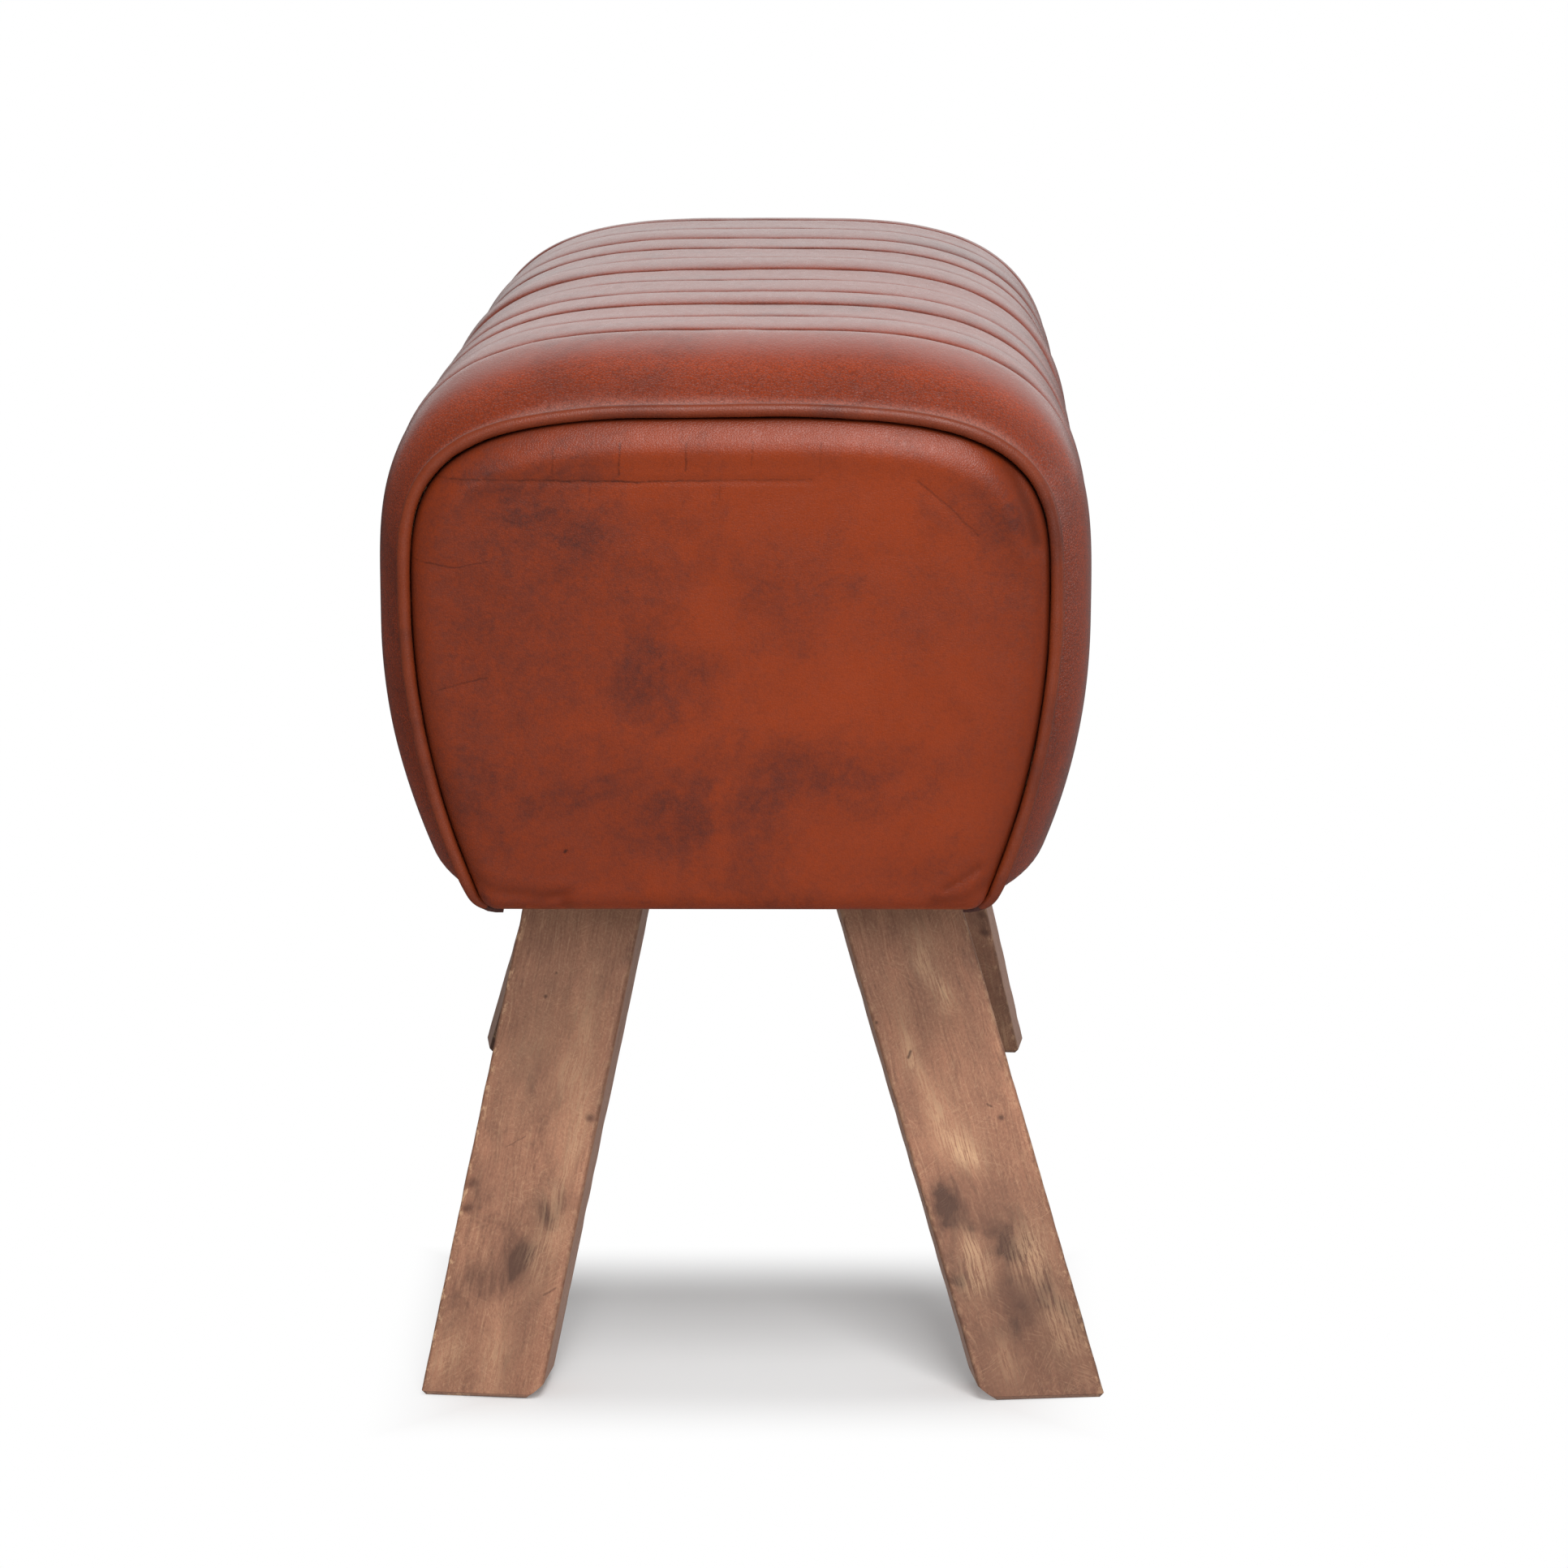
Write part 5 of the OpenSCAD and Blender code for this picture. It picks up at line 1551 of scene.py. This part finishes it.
class BenchPanel(Panel):
    """Lists the pieces of the bench and their sizes"""
    bl_idname = "VIEW3D_PT_bench"
    bl_label = "Ribbed bench"
    bl_space_type = "VIEW_3D"
    bl_region_type = "UI"
    bl_category = "Bench"

    def draw(self, context):
        for name, group in GROUPS.items():
            box = self.layout.box()
            for key in group.__annotations__:
                box.prop(getattr(context.scene, name), key)
        for operator in OPERATORS:
            self.layout.operator(operator.bl_idname)


CLASSES = (*GROUPS.values(), *OPERATORS, BenchPanel)


def register():
    for each in CLASSES:
        bpy.utils.register_class(each)
    for name, group in GROUPS.items():
        setattr(bpy.types.Scene, name, PointerProperty(type=group))


def unregister():
    for name in GROUPS:
        delattr(bpy.types.Scene, name)
    for each in reversed(CLASSES):
        bpy.utils.unregister_class(each)


def main():
    register()
    for operator in OPERATORS:
        kind, word = operator.bl_idname.split(".")
        if getattr(getattr(bpy.ops, kind), word)() != {"FINISHED"}:
            raise RuntimeError(f"{operator.bl_label} did not finish")


if __name__ == "__main__":
    main()
